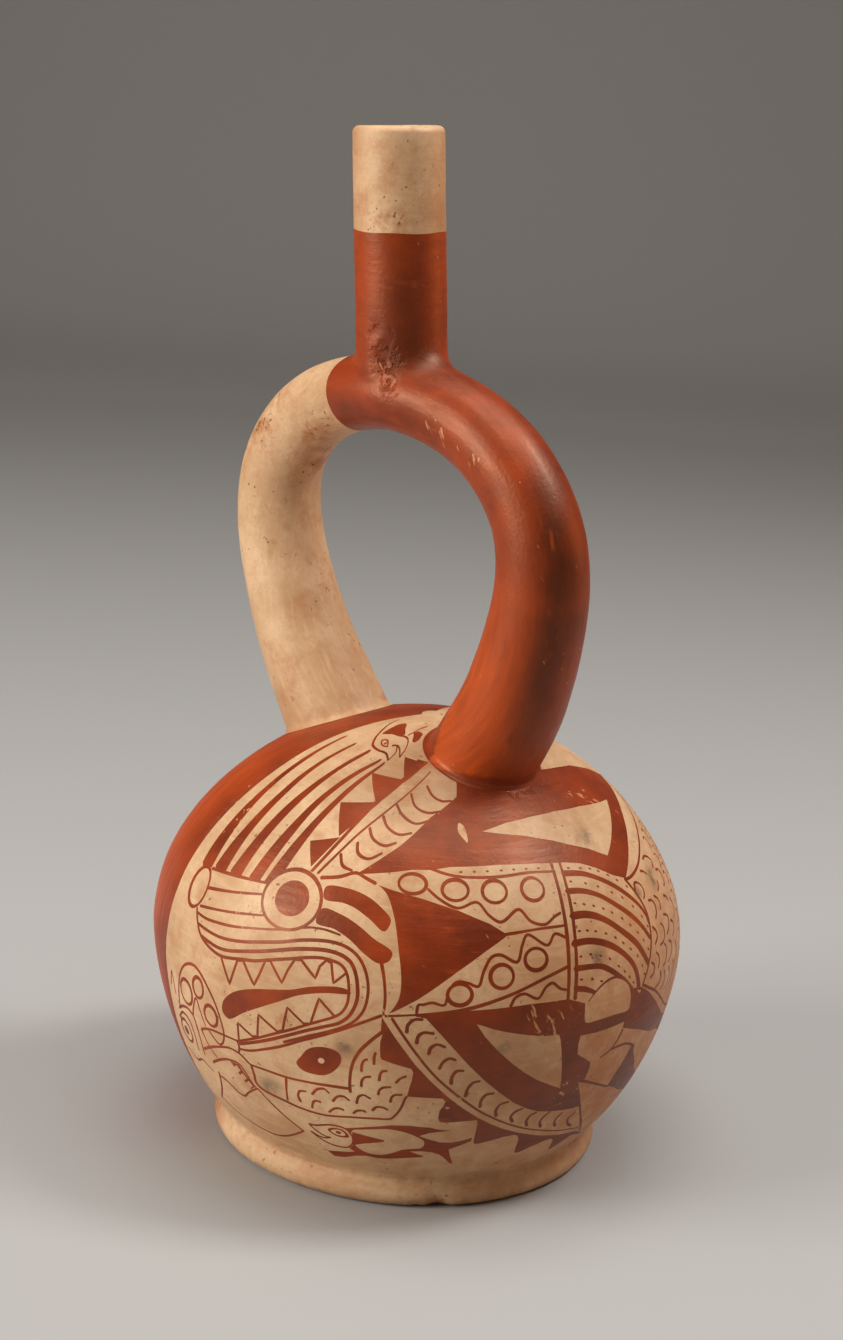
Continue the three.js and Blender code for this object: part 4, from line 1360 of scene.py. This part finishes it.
        for t in np.linspace(0, 1, 14)[1:]:
            heights.append(between(level * (top - self.mouth_round), end, t))
            radii.append(self.spout_bore_radius)
            slips.append(Slip.CREAM if t < 0.2 else Slip.CLAY)
        rows = [self.spout_ring(radius, height) for radius, height in zip(radii, heights)]
        self.skin.add_rows(rows, slips, self.spout_brushing, Blocks.SPOUT)
        strip = rounding(rows[-1], inner_corner, inner_edge, 5)
        self.skin.add_rows(strip, [Slip.CLAY], self.leg_brushing, Blocks.HOLLOW)

    def turned_rows(self, profile: Sequence[Point]) -> list[Array]:
        """Turns a profile of radius and height about the chamber's axis."""
        turn = np.linspace(-math.pi, math.pi, self.foot_count, endpoint=False)
        x, y, level = np.cos(turn), np.sin(turn), np.ones(self.foot_count)
        return [np.stack([r * x, r * y, level * z], axis=1) for r, z in profile]

    def foot(self) -> None:
        """Adds the ring foot and its recessed underside."""
        out, up = float(self.chamber.radii[0]), float(self.chamber.heights[0])
        outer, inner, recess = self.foot_radius, self.foot_radius - self.foot_ring_width, self.foot_recess
        side = [(out + 0.35, up - 0.7), (out + 0.75, up - 2.0), (outer, 4.4), (outer + 0.1, 3.0),
                (outer - 0.1, 1.9), (outer - 0.6, 0.9), (outer - 1.4, 0.3), (outer - 2.6, 0.0)]
        under = [(inner + 2.0, 0.0), (inner + 0.6, 0.2), (inner - 0.6, 1.0), (inner - 2.6, 2.8),
                 (inner - 4.6, 4.0), (inner - 8, recess), (26.0, recess), (10.0, recess)]
        rows = self.turned_rows([(out, up), *side, *under])
        slips = [Slip.CREAM] * len(side) + [Slip.CLAY] * len(under)
        self.skin.add_rows(rows, slips, self.chamber_brushing, Blocks.FOOT, closing=True)

    def floor(self) -> None:
        """Adds the floor of the hollow."""
        edge = (float(self.cavity.radii[0]), float(self.cavity.heights[0]))
        rows = self.turned_rows([edge, (edge[0] * 0.6, edge[1]), (edge[0] * 0.2, edge[1])])
        self.skin.add_rows(rows, [Slip.CLAY], self.chamber_brushing, Blocks.HOLLOW, closing=True)

    def finished_object(self) -> bpy.types.Object:
        """Welds the patches, makes the handmade unevenness and writes the mesh.

        Returns:
            The vessel's object.
        """
        points = np.vstack(self.skin.points)
        faces = np.vstack(self.skin.faces)
        mesh = bpy.data.meshes.new("painted_vessel")
        mesh.from_pydata((points * MM).tolist(), [], faces.tolist())
        mesh.polygons.foreach_set("material_index", np.concatenate(self.skin.slips).astype(np.int32))
        layer = mesh.uv_layers.new(name="OFBake")
        layer.data.foreach_set("uv", np.vstack(self.skin.maps).ravel())
        strokes = mesh.attributes.new("strokes", "FLOAT_VECTOR", "POINT")
        strokes.data.foreach_set("vector", np.vstack(self.skin.brushing).ravel())
        piece = bpy.data.objects.new("painted_vessel", mesh)
        bpy.context.collection.objects.link(piece)
        form = bmesh.new()
        form.from_mesh(mesh)
        edge_points = {point for edge in form.edges if edge.is_boundary for point in edge.verts}
        bmesh.ops.remove_doubles(form, verts=list(edge_points), dist=0.004 * MM)
        open_edges = sum(1 for edge in form.edges if not edge.is_manifold)
        bmesh.ops.recalc_face_normals(form, faces=form.faces)
        form.to_mesh(mesh)
        form.free()
        counts = (len(mesh.vertices), len(mesh.polygons), open_edges)
        log.info("vessel: %d points, %d triangles, %d open edges", *counts)
        Handwork().shape(mesh)
        mesh.shade_smooth()
        return piece


@dataclass(frozen=True)
class Handwork:
    """The marks of the hand and of age: unevenness, tool dents, chips, and where colours shift, some of
    which are painted light and shade.

    A spot is a place and its size, and a spot on the sheet has a place on the chamber's sheet.
    """

    sway: float = 0.32
    sway_size: float = 34.0
    ripple: float = 0.07
    ripple_size: float = 7.0
    gouge_size: float = 3.4
    picture_side: float = 43.9
    crown_level: float = 120.0
    gouges: tuple[Place, ...] = ((-8, -23, 235), (-6, -22.5, 231), (-4, -21, 226.5), (-6.5, -22, 227.5),
                                 (-3, -20.5, 220))
    chips: Spots = ((46.3, -32.2, 0.6, 2.6, 1.3), (42.5, -37, 0.3, 1.5, 0.6), (-20, 53, 0.2, 2.2, 0.8))
    stains: Spots = (
        (-62, -14, 198, 8), (-58, -20, 204, 6), (-50, -17, 211, 5), (-64, -10, 184, 4), (-38.6, -18, 204, 6),
        (-43.6, -7, 195, 7), (-37, -20, 128, 2), (-23, 3, 126, 4), (-10, -24, 265, 4), (-5, -21, 265, 4),
        (42.6, -29.6, 108.6, 1.3), (46.3, -32.2, 1.5, 3))
    faint_stains: Spots = (
        (24, -73, 58, 2.5), (76, -9.5, 58, 4), (74, -8, 48, 3), (60, -41, 30, 3), (66, -30, 28, 3))
    smudges: Spots = (
        (63, 27, 90, 2.4), (67, 16.3, 89, 1.7), (74, -6.7, 77.6, 2.4), (39.5, -65, 53.6, 2.2),
        (15.8, -69, 35, 3.2), (68, -35, 56.5, 1.6), (57, 5, 104.8, 2.5), (59, -42, 76, 1.2))
    worn_on_sheet: Spots = ((-143, 42, 7), (-142, 52, 7), (-118, 21, 4), (-8, 14, 2.5))
    worn: Spots = (
        (72, -26, 66, 6), (73, -23, 60.5, 5), (75, -15, 65, 5), (71.6, -11, 39, 5), (59, -42, 39, 4),
        (45.6, 14.4, 111.6, 5), (48, 20.5, 108, 4), (58, 18, 100, 3), (10.8, -20.8, 214.6, 5),
        (17.5, -20.7, 210.5, 4), (27, -20.8, 206, 4), (47, -20, 183, 2.5), (57, -8, 171, 2.5),
        (-28.5, -39.7, 111, 2.5), (0, -10, 258, 3), (-7, -22, 226, 2.5))

    def shape(self, mesh: bpy.types.Mesh) -> None:
        """Moves the mesh's points along their normals and records the shifts of colour.

        Args:
            mesh: The welded mesh.
        """
        count = len(mesh.vertices)
        points, normals = np.empty(count * 3), np.empty(count * 3)
        mesh.vertices.foreach_get("co", points)
        mesh.vertex_normals.foreach_get("vector", normals)
        points, normals = points.reshape(-1, 3) / MM, normals.reshape(-1, 3)
        push = np.zeros(count)
        # The thicker chamber sways twice as much as the slim stirrup
        strength = self.sway * (1 + ramp(points[:, 2], 138.0, 122.0))
        for index, point in enumerate(points):
            place = Vector(point)
            push[index] = strength[index] * noise.noise(place / self.sway_size)
            push[index] += self.ripple * noise.noise(place / self.ripple_size + Vector((9, 3, 5)))
        # The foot's underside stays flat, so that the vessel stands
        push *= ramp(points[:, 2], 0.5, 4.5)
        push -= self.tool_dents(points)
        for *centre, size, depth in self.chips:
            push -= depth * self.spot(points, centre, size)
        moved = points + normals * push[:, None]
        moved[:, 2] = np.maximum(moved[:, 2], float(LOW[2]))
        mesh.vertices.foreach_set("co", (moved * MM).ravel())
        for name, values in self.shifts(points, normals).items():
            attribute = mesh.attributes.new(name, "FLOAT", "POINT")
            attribute.data.foreach_set("value", values.astype(np.float32))
        mesh.update()

    def tool_dents(self, points: Array) -> Array:
        """Returns the depth of the pits and scrapes left where the spout was worked on to the arch."""
        depth = np.zeros(len(points))
        random = np.random.default_rng(5)
        centres = np.repeat(np.array(self.gouges), 5, axis=0)
        for centre in centres + random.normal(0, (1.7, 1.0, 1.9), centres.shape):
            reach = (points - centre) * (1.0, 0.4, random.uniform(0.7, 1.4))
            dent = random.uniform(0.25, 0.65)
            depth += dent * np.exp(-np.sum(reach ** 2, axis=1) / random.uniform(0.8, 1.5) ** 2)
        return np.minimum(depth, 0.95)

    def spot(self, points: Array, centre: Sequence[float], size: float) -> Array:
        """Returns the share of one soft spot at each point, 1 in its middle."""
        return np.exp(-np.sum((points - np.array(centre)) ** 2, axis=1) / size ** 2)

    def spots(self, points: Array, places: Iterable[Sequence[float]]) -> Array:
        """Returns the share of several soft spots at each point."""
        return np.clip(sum(self.spot(points, centre, size) for *centre, size in places), 0, 1)

    def shifts(self, points: Array, normals: Array) -> dict[str, Array]:
        """Returns the shares of fire-cloud and painted shade, painted light and orange, stain, soot, wear,
        rubbing with a painted crease shade, and pits at each point.
        """
        x, y, z = points.T
        turn = math.radians(self.picture_side)
        rightward = normals[:, 0] * math.cos(turn) + normals[:, 1] * math.sin(turn)
        toward = np.clip(normals[:, 0] * math.sin(turn) - normals[:, 1] * math.cos(turn), 0, 1)
        across = x * math.cos(turn) + y * math.sin(turn)
        on_chamber = z < self.crown_level
        near_leg = ~on_chamber & (x > 20) & (z < 236)
        # A fire-cloud down the near leg, and painted shade on the front of the spout's red part and low on
        # the chamber's right
        fire_cloud_and_painted_shade = np.exp(-(((rightward - 0.3) / 0.34) ** 2)) * toward * near_leg
        fire_cloud_and_painted_shade *= ramp(z, 207, 193) * np.maximum(ramp(z, 132, 166), 0.3)
        spout_front = np.clip(1 - (rightward - 0.1) ** 2 * 2.4, 0, 1) * toward
        fire_cloud_and_painted_shade += 0.75 * spout_front * ramp(z, 262, 248) * (z > 222)
        low_right = np.clip(0.2 + across / 65, 0, 1) * np.clip(z / 25, 0.35, 1)
        fire_cloud_and_painted_shade += 0.9 * on_chamber * ramp(z, 108, 38) * low_right
        # Painted light: an orange glow on the near leg's left side, on the band behind towards its top and
        # left, and on the spout's sides and top; also an orange tint low on the near leg's root
        orange_and_painted_light = np.clip(0.1 - 1.3 * rightward, 0, 1) * near_leg * np.maximum(ramp(z, 190, 150), 0.25)
        orange_and_painted_light += 0.5 * near_leg * ramp(z, 145, 120)
        behind = ramp(np.abs(np.degrees(np.arctan2(y, x))), 113, 128)
        orange_and_painted_light += 1.1 * behind * ramp(z, 122, 108) * np.clip(-across / 45, 0.7, 1)
        orange_and_painted_light += 0.9 * np.clip(np.abs(rightward) - 0.5, 0, 1) * (z > 225) + 0.12 * (z > 252)
        chamber = ChamberForm()
        on_sheet = np.array(self.worn_on_sheet)
        seats = np.column_stack([chamber.surface(on_sheet[:, :2]), on_sheet[:, 2]])
        # The foot's lower edge is rubbed bare, and a painted shade line runs along the crease where the foot
        # meets the chamber
        rub_and_crease_shade = ramp(z, 3.6, 0.4) + 0.6 * np.exp(-(((z - 8.3) / 0.8) ** 2))
        shares = {
            "fire_cloud_and_painted_shade": fire_cloud_and_painted_shade,
            "orange_and_painted_light": orange_and_painted_light,
            "stain": self.spots(points, self.stains) + 0.8 * self.spots(points, self.faint_stains),
            "smudge": self.spots(points, self.smudges),
            "wear": self.spots(points, seats) + self.spots(points, self.worn),
            "rub_and_crease_shade": rub_and_crease_shade,
            "pits": self.spots(points, [(*centre, self.gouge_size) for centre in self.gouges]),
        }
        return {name: np.clip(values, 0, 1) for name, values in shares.items()}


# Finishes


def linear(code: str) -> tuple[float, float, float, float]:
    """Turns an sRGB hex colour to linear values."""
    parts = [int(code[k:k + 2], 16) / 255 for k in (1, 3, 5)]
    return (*[c / 12.92 if c <= 0.04045 else ((c + 0.055) / 1.055) ** 2.4 for c in parts], 1.0)


class Finish:
    """A node material in the making."""

    def __init__(self, name: str) -> None:
        """Starts with the plain shader.

        Args:
            name: The material's name.
        """
        self.material = bpy.data.materials.new(name)
        self.material.use_nodes = True
        self.tree = self.material.node_tree
        self.shader = self.tree.nodes["Principled BSDF"]

    def node(self, kind: str, settings: dict | None = None, **inputs: Input | Place) -> bpy.types.Node:
        """Adds a node.

        Args:
            kind: The node's type without its ShaderNode prefix.
            settings: Its own settings.
            **inputs: Values or output sockets for its inputs, by name or by _ and a number.

        Returns:
            The node.
        """
        made = self.tree.nodes.new("ShaderNode" + kind)
        for name, value in (settings or {}).items():
            setattr(made, name, value)
        for name, value in inputs.items():
            socket = made.inputs[int(name[1:]) if name[1:].isdigit() else name]
            if isinstance(value, Socket):
                self.tree.links.new(value, socket)
            else:
                socket.default_value = value
        return made

    def noise(self, size_mm: float, detail: float, strokes: bool = False, rough: float = 0.55) -> Socket:
        """Returns noise with lumps of about size_mm, or drawn out along the burnishing strokes."""
        if strokes:
            vector = self.node("Attribute", {"attribute_name": "strokes"}).outputs["Vector"]
            scale = 1.0 / size_mm
        else:
            vector = self.node("TexCoord").outputs["Object"]
            scale = 1.0 / (size_mm * MM)
        made = self.node("TexNoise", Vector=vector, Scale=scale, Detail=detail, Roughness=rough)
        return made.outputs["Fac"]

    def share(self, value: Socket, low: float, high: float, to_low: float = 0.0,
              to_high: float = 1.0) -> Socket:
        """Returns a value read between two limits."""
        return self.node("MapRange", _0=value, _1=low, _2=high, _3=to_low, _4=to_high).outputs["Result"]

    def math(self, first: Input, second: Input, operation: str = "MULTIPLY") -> Socket:
        """Returns the product or another working of two values."""
        return self.node("Math", {"operation": operation, "use_clamp": True}, _0=first, _1=second).outputs[0]

    def mix(self, factor: Input, first: Input | str, second: Input | str) -> Socket:
        """Returns a mix of two colours."""
        made = self.node("Mix", {"data_type": "RGBA"})
        for socket, value in ((made.inputs[0], factor), (made.inputs[6], first), (made.inputs[7], second)):
            if isinstance(value, Socket):
                self.tree.links.new(value, socket)
            else:
                socket.default_value = linear(value) if isinstance(value, str) else value
        return made.outputs[2]

    def layer(self, colour: Socket, tone: str, pattern: Socket,
              low: float, high: float, most: float) -> Socket:
        """Returns a colour under patches of a tone, at most so dense where the pattern is high."""
        return self.mix(self.share(pattern, low, high, 0.0, most), colour, tone)

    def attribute(self, name: str) -> Socket:
        """Returns a value that the mesh carries."""
        return self.node("Attribute", {"attribute_name": name}).outputs["Fac"]

    def finish(self, colour: Socket, roughness: Socket, height: Socket,
               depth_mm: float, specular: float, tint: str) -> bpy.types.Material:
        """Joins colour, roughness and height to the shader.

        Args:
            colour: The surface's colour.
            roughness: Its roughness.
            height: The height of its fine relief, from 0 to 1.
            depth_mm: What 1 means in millimetres.
            specular: The strength of its reflection.
            tint: The warmth of its reflection.

        Returns:
            The material.
        """
        bump = self.node("Bump", Strength=1.0, Distance=depth_mm * MM, Height=height).outputs["Normal"]
        for name, socket in (("Base Color", colour), ("Roughness", roughness), ("Normal", bump)):
            self.tree.links.new(socket, self.shader.inputs[name])
        self.shader.inputs["Specular IOR Level"].default_value = specular
        self.shader.inputs["Specular Tint"].default_value = linear(tint)
        return self.material


@dataclass(frozen=True)
class CreamSlip:
    """Burnished cream slip on earthenware: warm and blotched, with fine strokes, soil and rust specks, a
    painted glow on lit sides and painted shade low on the right and in the foot's crease.
    """

    light: str = "#DEB88F"
    dark: str = "#BE9168"
    warm: str = "#AC6433"
    stain: str = "#A65C2C"
    soot: str = "#4E3C30"
    speck: str = "#74442A"
    rubbed_and_shade: str = "#8A5230"
    blotch_mm: float = 22.0
    mottle_mm: float = 3.6
    soil_mm: float = 9.0
    grain_mm: float = 0.9
    stroke_mm: float = 1.5
    speck_mm: float = 1.4

    def make(self) -> bpy.types.Material:
        """Returns the material."""
        kit = Finish("burnished_cream_slip")
        colour = kit.mix(kit.share(kit.noise(self.blotch_mm, 5), 0.34, 0.68), self.light, self.dark)
        colour = kit.layer(colour, self.dark, kit.noise(self.mottle_mm, 5, rough=0.65), 0.45, 0.72, 0.45)
        grain = kit.noise(self.grain_mm, 3, rough=0.7)
        colour = kit.layer(colour, self.dark, grain, 0.5, 0.75, 0.38)
        strokes = kit.noise(self.stroke_mm, 3, strokes=True)
        colour = kit.layer(colour, self.light, strokes, 0.5, 0.75, 0.5)
        edge = kit.noise(5.0, 5, rough=0.65)
        colour = kit.layer(colour, self.warm, kit.noise(self.soil_mm, 6, rough=0.75), 0.5, 0.72, 0.5)
        # Painted light: the lit sides glow orange
        painted_glow = kit.math(kit.attribute("orange_and_painted_light"), kit.share(strokes, 0.3, 0.7, 0.5, 0.95))
        colour = kit.mix(painted_glow, colour, self.warm)
        # Fire-clouds with painted shade low on the right, stains, soot smudges, and the rubbed foot edge
        # with a painted shade line along its crease
        marks = (("fire_cloud_and_painted_shade", 0.15, 0.55, 0.95, self.warm), ("stain", 0.45, 0.62, 0.75, self.stain),
                 ("smudge", 0.3, 0.52, 0.9, self.soot), ("rub_and_crease_shade", 0.35, 0.7, 0.8, self.rubbed_and_shade))
        for name, low, high, most, tone in marks:
            amount = kit.math(kit.attribute(name), kit.share(edge, low, high, 0.0, most))
            colour = kit.mix(amount, colour, tone)
        specks = kit.math(kit.noise(self.speck_mm, 1), kit.math(kit.attribute("stain"), 0.07), "ADD")
        specks = kit.share(specks, 0.69, 0.74)
        specks = kit.math(specks, kit.share(kit.noise(15.0, 2), 0.48, 0.6))
        colour = kit.mix(kit.math(specks, 0.8), colour, self.speck)
        roughness = kit.share(strokes, 0.3, 0.7, 0.42, 0.56)
        relief = kit.math(kit.math(strokes, 0.5), kit.math(grain, 0.5), "ADD")
        relief = kit.math(relief, kit.math(specks, 0.6), "SUBTRACT")
        return kit.finish(colour, roughness, relief, 0.12, 0.4, "#FFE6CC")


@dataclass(frozen=True)
class RedSlip:
    """Burnished iron-red slip: orange where thin and as painted light, brown where smoky and as painted
    shade, streaked and scratched to cream, with painted shade in the tool pits.
    """

    base: str = "#96350F"
    deep: str = "#6E2209"
    orange: str = "#BC480E"
    smoke_and_shade: str = "#421B09"
    worn: str = "#D29260"
    patch_mm: float = 15.0
    streak_mm: float = 2.0
    wear_mm: float = 3.4
    scratch_mm: float = 1.5
    scratch_turn: Place = (0.0, 0.555, -2.377)
    pit_mm: float = 2.2

    def make(self) -> bpy.types.Material:
        """Returns the material."""
        kit = Finish("burnished_iron_red_slip")
        colour = kit.mix(kit.share(kit.noise(self.patch_mm, 5), 0.36, 0.66), self.base, self.deep)
        streaks = kit.noise(self.streak_mm, 4, strokes=True)
        colour = kit.layer(colour, self.deep, streaks, 0.5, 0.78, 0.4)
        # Painted light: an orange glow on the lit sides and the band's top, with some orange at the near
        # leg's root
        orange_and_painted_light = kit.math(kit.attribute("orange_and_painted_light"), kit.share(streaks, 0.3, 0.65, 1.0, 0.5))
        colour = kit.mix(orange_and_painted_light, colour, self.orange)
        # A fire-cloud down the near leg, and painted shade on the spout's front and the chamber's lower
        # right
        smoke_and_shade = kit.math(kit.attribute("fire_cloud_and_painted_shade"), kit.share(kit.noise(10.0, 4), 0.25, 0.65, 0.5, 0.9))
        colour = kit.mix(smoke_and_shade, colour, self.smoke_and_shade)
        thin = kit.math(kit.share(streaks, 0.56, 0.7), kit.share(kit.noise(8.0, 3), 0.5, 0.68))
        colour = kit.mix(kit.math(thin, 0.55), colour, self.orange)
        wear = kit.attribute("wear")
        # The scratches are long and slanting, so the space of their noise is turned and drawn out
        place = kit.node("TexCoord").outputs["Object"]
        slanted = kit.node("Mapping", {"vector_type": "TEXTURE"}, Vector=place,
                           Rotation=self.scratch_turn, Scale=(1.0, 1.0, 9.0)).outputs["Vector"]
        scale = 1 / (self.scratch_mm * MM)
        scratches = kit.node("TexNoise", Vector=slanted, Scale=scale, Detail=2.0).outputs["Fac"]
        scratches = kit.share(kit.math(scratches, kit.math(wear, 0.15), "ADD"), 0.74, 0.78)
        flakes = kit.noise(self.wear_mm, 5, rough=0.7)
        flakes = kit.share(kit.math(flakes, kit.math(wear, 0.12), "ADD"), 0.75, 0.78)
        worn = kit.math(scratches, flakes, "MAXIMUM")
        colour = kit.mix(kit.math(worn, 0.75), colour, self.worn)
        pits = kit.share(kit.noise(self.pit_mm, 3, rough=0.6), 0.5, 0.68)
        pits = kit.math(pits, kit.share(kit.attribute("pits"), 0.15, 0.7))
        # Painted shade darkens the tool pits
        colour = kit.mix(kit.math(pits, 0.45), colour, self.smoke_and_shade)
        roughness = kit.math(kit.share(streaks, 0.3, 0.7, 0.39, 0.51), kit.math(pits, 0.35), "ADD")
        relief = kit.math(kit.math(streaks, 0.24), kit.math(kit.noise(1.2, 3), 0.16), "ADD")
        relief = kit.math(kit.math(relief, 0.6, "ADD"), kit.math(worn, 0.1), "SUBTRACT")
        relief = kit.math(relief, kit.math(pits, 0.85), "SUBTRACT")
        return kit.finish(colour, roughness, relief, 0.5, 0.72, "#FFC8A0")


@dataclass(frozen=True)
class BareClay:
    """Unslipped fired clay of the underside and the hollow: dull, sandy and a little sooty."""

    light: str = "#BD8760"
    dark: str = "#8F5E3F"

    def make(self) -> bpy.types.Material:
        """Returns the material."""
        kit = Finish("bare_fired_clay")
        grain = kit.noise(1.2, 5, rough=0.7)
        colour = kit.mix(kit.share(kit.noise(12.0, 4), 0.3, 0.7), self.light, self.dark)
        colour = kit.layer(colour, self.dark, grain, 0.55, 0.75, 0.5)
        return kit.finish(colour, kit.share(grain, 0.3, 0.7, 0.78, 0.92), grain, 0.25, 0.3, "#FFE6CC")


# Stage, light and camera


@dataclass(frozen=True)
class Studio:
    """A pale floor, soft light and the camera at the photograph's viewing angle."""

    side: float = 43.89
    distance: float = 629.8
    height: float = 297.2
    aside: float = 0.35
    down: float = 14.07
    swing: float = -0.39
    roll: float = -3.90
    focal_px: float = 2271.0
    picture_px: float = 1340.0
    sensor: float = 36.0
    floor_half: float = 3.2
    floor_gap: float = 0.0002
    aim_height: float = 0.13

    def build(self) -> None:
        """Builds floor, lights and camera."""
        self.floor()
        self.camera()
        self.lamp("key", (-1.15, -0.45, 0.55), 0.6, 15.3, "#FFFDFA")
        self.lamp("top", (0.03, -0.06, 1.28), 0.9, 9.8, "#FFFFFF")
        self.lamp("strip", (0.68, 0.0, 1.08), 0.3, 7.2, "#FFFFFF")
        self.lamp("rim", (1.1, 0.25, 0.3), 0.4, 1.2, "#FFB070")
        world = bpy.data.worlds.new("studio")
        world.use_nodes = True
        world.node_tree.nodes["Background"].inputs["Color"].default_value = linear("#F3DCC2")
        world.node_tree.nodes["Background"].inputs["Strength"].default_value = 0.12
        bpy.context.scene.world = world
        bpy.context.scene.view_settings.view_transform = "Standard"

    def ground(self, right: float, away: float) -> Point:
        """Turns a place as seen from the camera to the vessel's own directions."""
        turn = math.radians(self.side)
        x = right * math.cos(turn) - away * math.sin(turn)
        return x, right * math.sin(turn) + away * math.cos(turn)

    def floor(self) -> None:
        """Builds the floor and the sweep behind it."""
        profile = [(-1.6, 0.0), (1.5, 0.0), (1.9, 0.08), (2.15, 0.35), (2.25, 0.9), (2.25, 2.6)]
        line = curve_through(profile, 8)
        points, faces = [], []
        for index, (out, up) in enumerate(line):
            for side in (-self.floor_half, self.floor_half):
                points.append((*self.ground(side, out), max(up, 0.0) - self.floor_gap))
            if index:
                base = 2 * index
                faces.append((base - 2, base - 1, base + 1, base))
        mesh = bpy.data.meshes.new("sweep")
        mesh.from_pydata(points, [], faces)
        mesh.shade_smooth()
        sweep = bpy.data.objects.new("sweep", mesh)
        bpy.context.collection.objects.link(sweep)
        paper = bpy.data.materials.new("pale_paper")
        paper.use_nodes = True
        shader = paper.node_tree.nodes["Principled BSDF"]
        shader.inputs["Base Color"].default_value = linear("#ABA9A6")
        shader.inputs["Roughness"].default_value = 0.8
        mesh.materials.append(paper)

    def lamp(self, name: str, place: Place, size: float, power: float, colour: str) -> None:
        """Adds a soft lamp that faces the vessel.

        Args:
            name: The lamp's name.
            place: Its place as seen from the camera: to the right, away and up, in metres.
            size: The side of its square.
            power: Its power in watts.
            colour: Its colour.
        """
        data = bpy.data.lights.new(name, "AREA")
        data.size, data.energy, data.color = size, power, linear(colour)[:3]
        lamp = bpy.data.objects.new(name, data)
        right, away, up = place
        spot = Vector((*self.ground(right, away), up))
        facing = (Vector((0.0, 0.0, self.aim_height)) - spot).to_track_quat("-Z", "Y")
        lamp.matrix_world = Matrix.Translation(spot) @ facing.to_matrix().to_4x4()
        bpy.context.collection.objects.link(lamp)

    def camera(self) -> None:
        """Places the camera as it stood for the photograph."""
        turn = math.radians(self.side)
        world = Matrix.Rotation(turn, 3, "Z")
        down, swing, roll = (math.radians(angle) for angle in (self.down, self.swing, self.roll))
        ahead = math.cos(down)
        forward = Vector((math.sin(swing) * ahead, math.cos(swing) * ahead, -math.sin(down)))
        level = Vector((math.cos(swing), -math.sin(swing), 0.0))
        upright = level.cross(forward)
        right = level * math.cos(roll) - upright * math.sin(roll)
        up = level * math.sin(roll) + upright * math.cos(roll)
        axes = Matrix((world @ right, world @ up, world @ -forward)).transposed()
        place = world @ Vector((self.aside, -self.distance, self.height)) * MM
        data = bpy.data.cameras.new("camera")
        data.lens, data.sensor_width = self.focal_px / self.picture_px * self.sensor, self.sensor
        data.clip_start, data.clip_end = 0.05, 20.0
        camera = bpy.data.objects.new("camera", data)
        camera.matrix_world = Matrix.Translation(place) @ axes.to_4x4()
        bpy.context.collection.objects.link(camera)
        bpy.context.scene.camera = camera


def main() -> None:
    """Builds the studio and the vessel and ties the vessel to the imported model."""
    Studio().build()
    piece = Vessel().build()
    for finish in (CreamSlip(), RedSlip(), BareClay()):
        piece.data.materials.append(finish.make())
    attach(piece, "root")
    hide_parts(NODE)
    log.info("piece %s is dressed", piece.name)


if __name__ == "__main__":
    logging.basicConfig(level=logging.INFO, format="%(message)s")
    main()
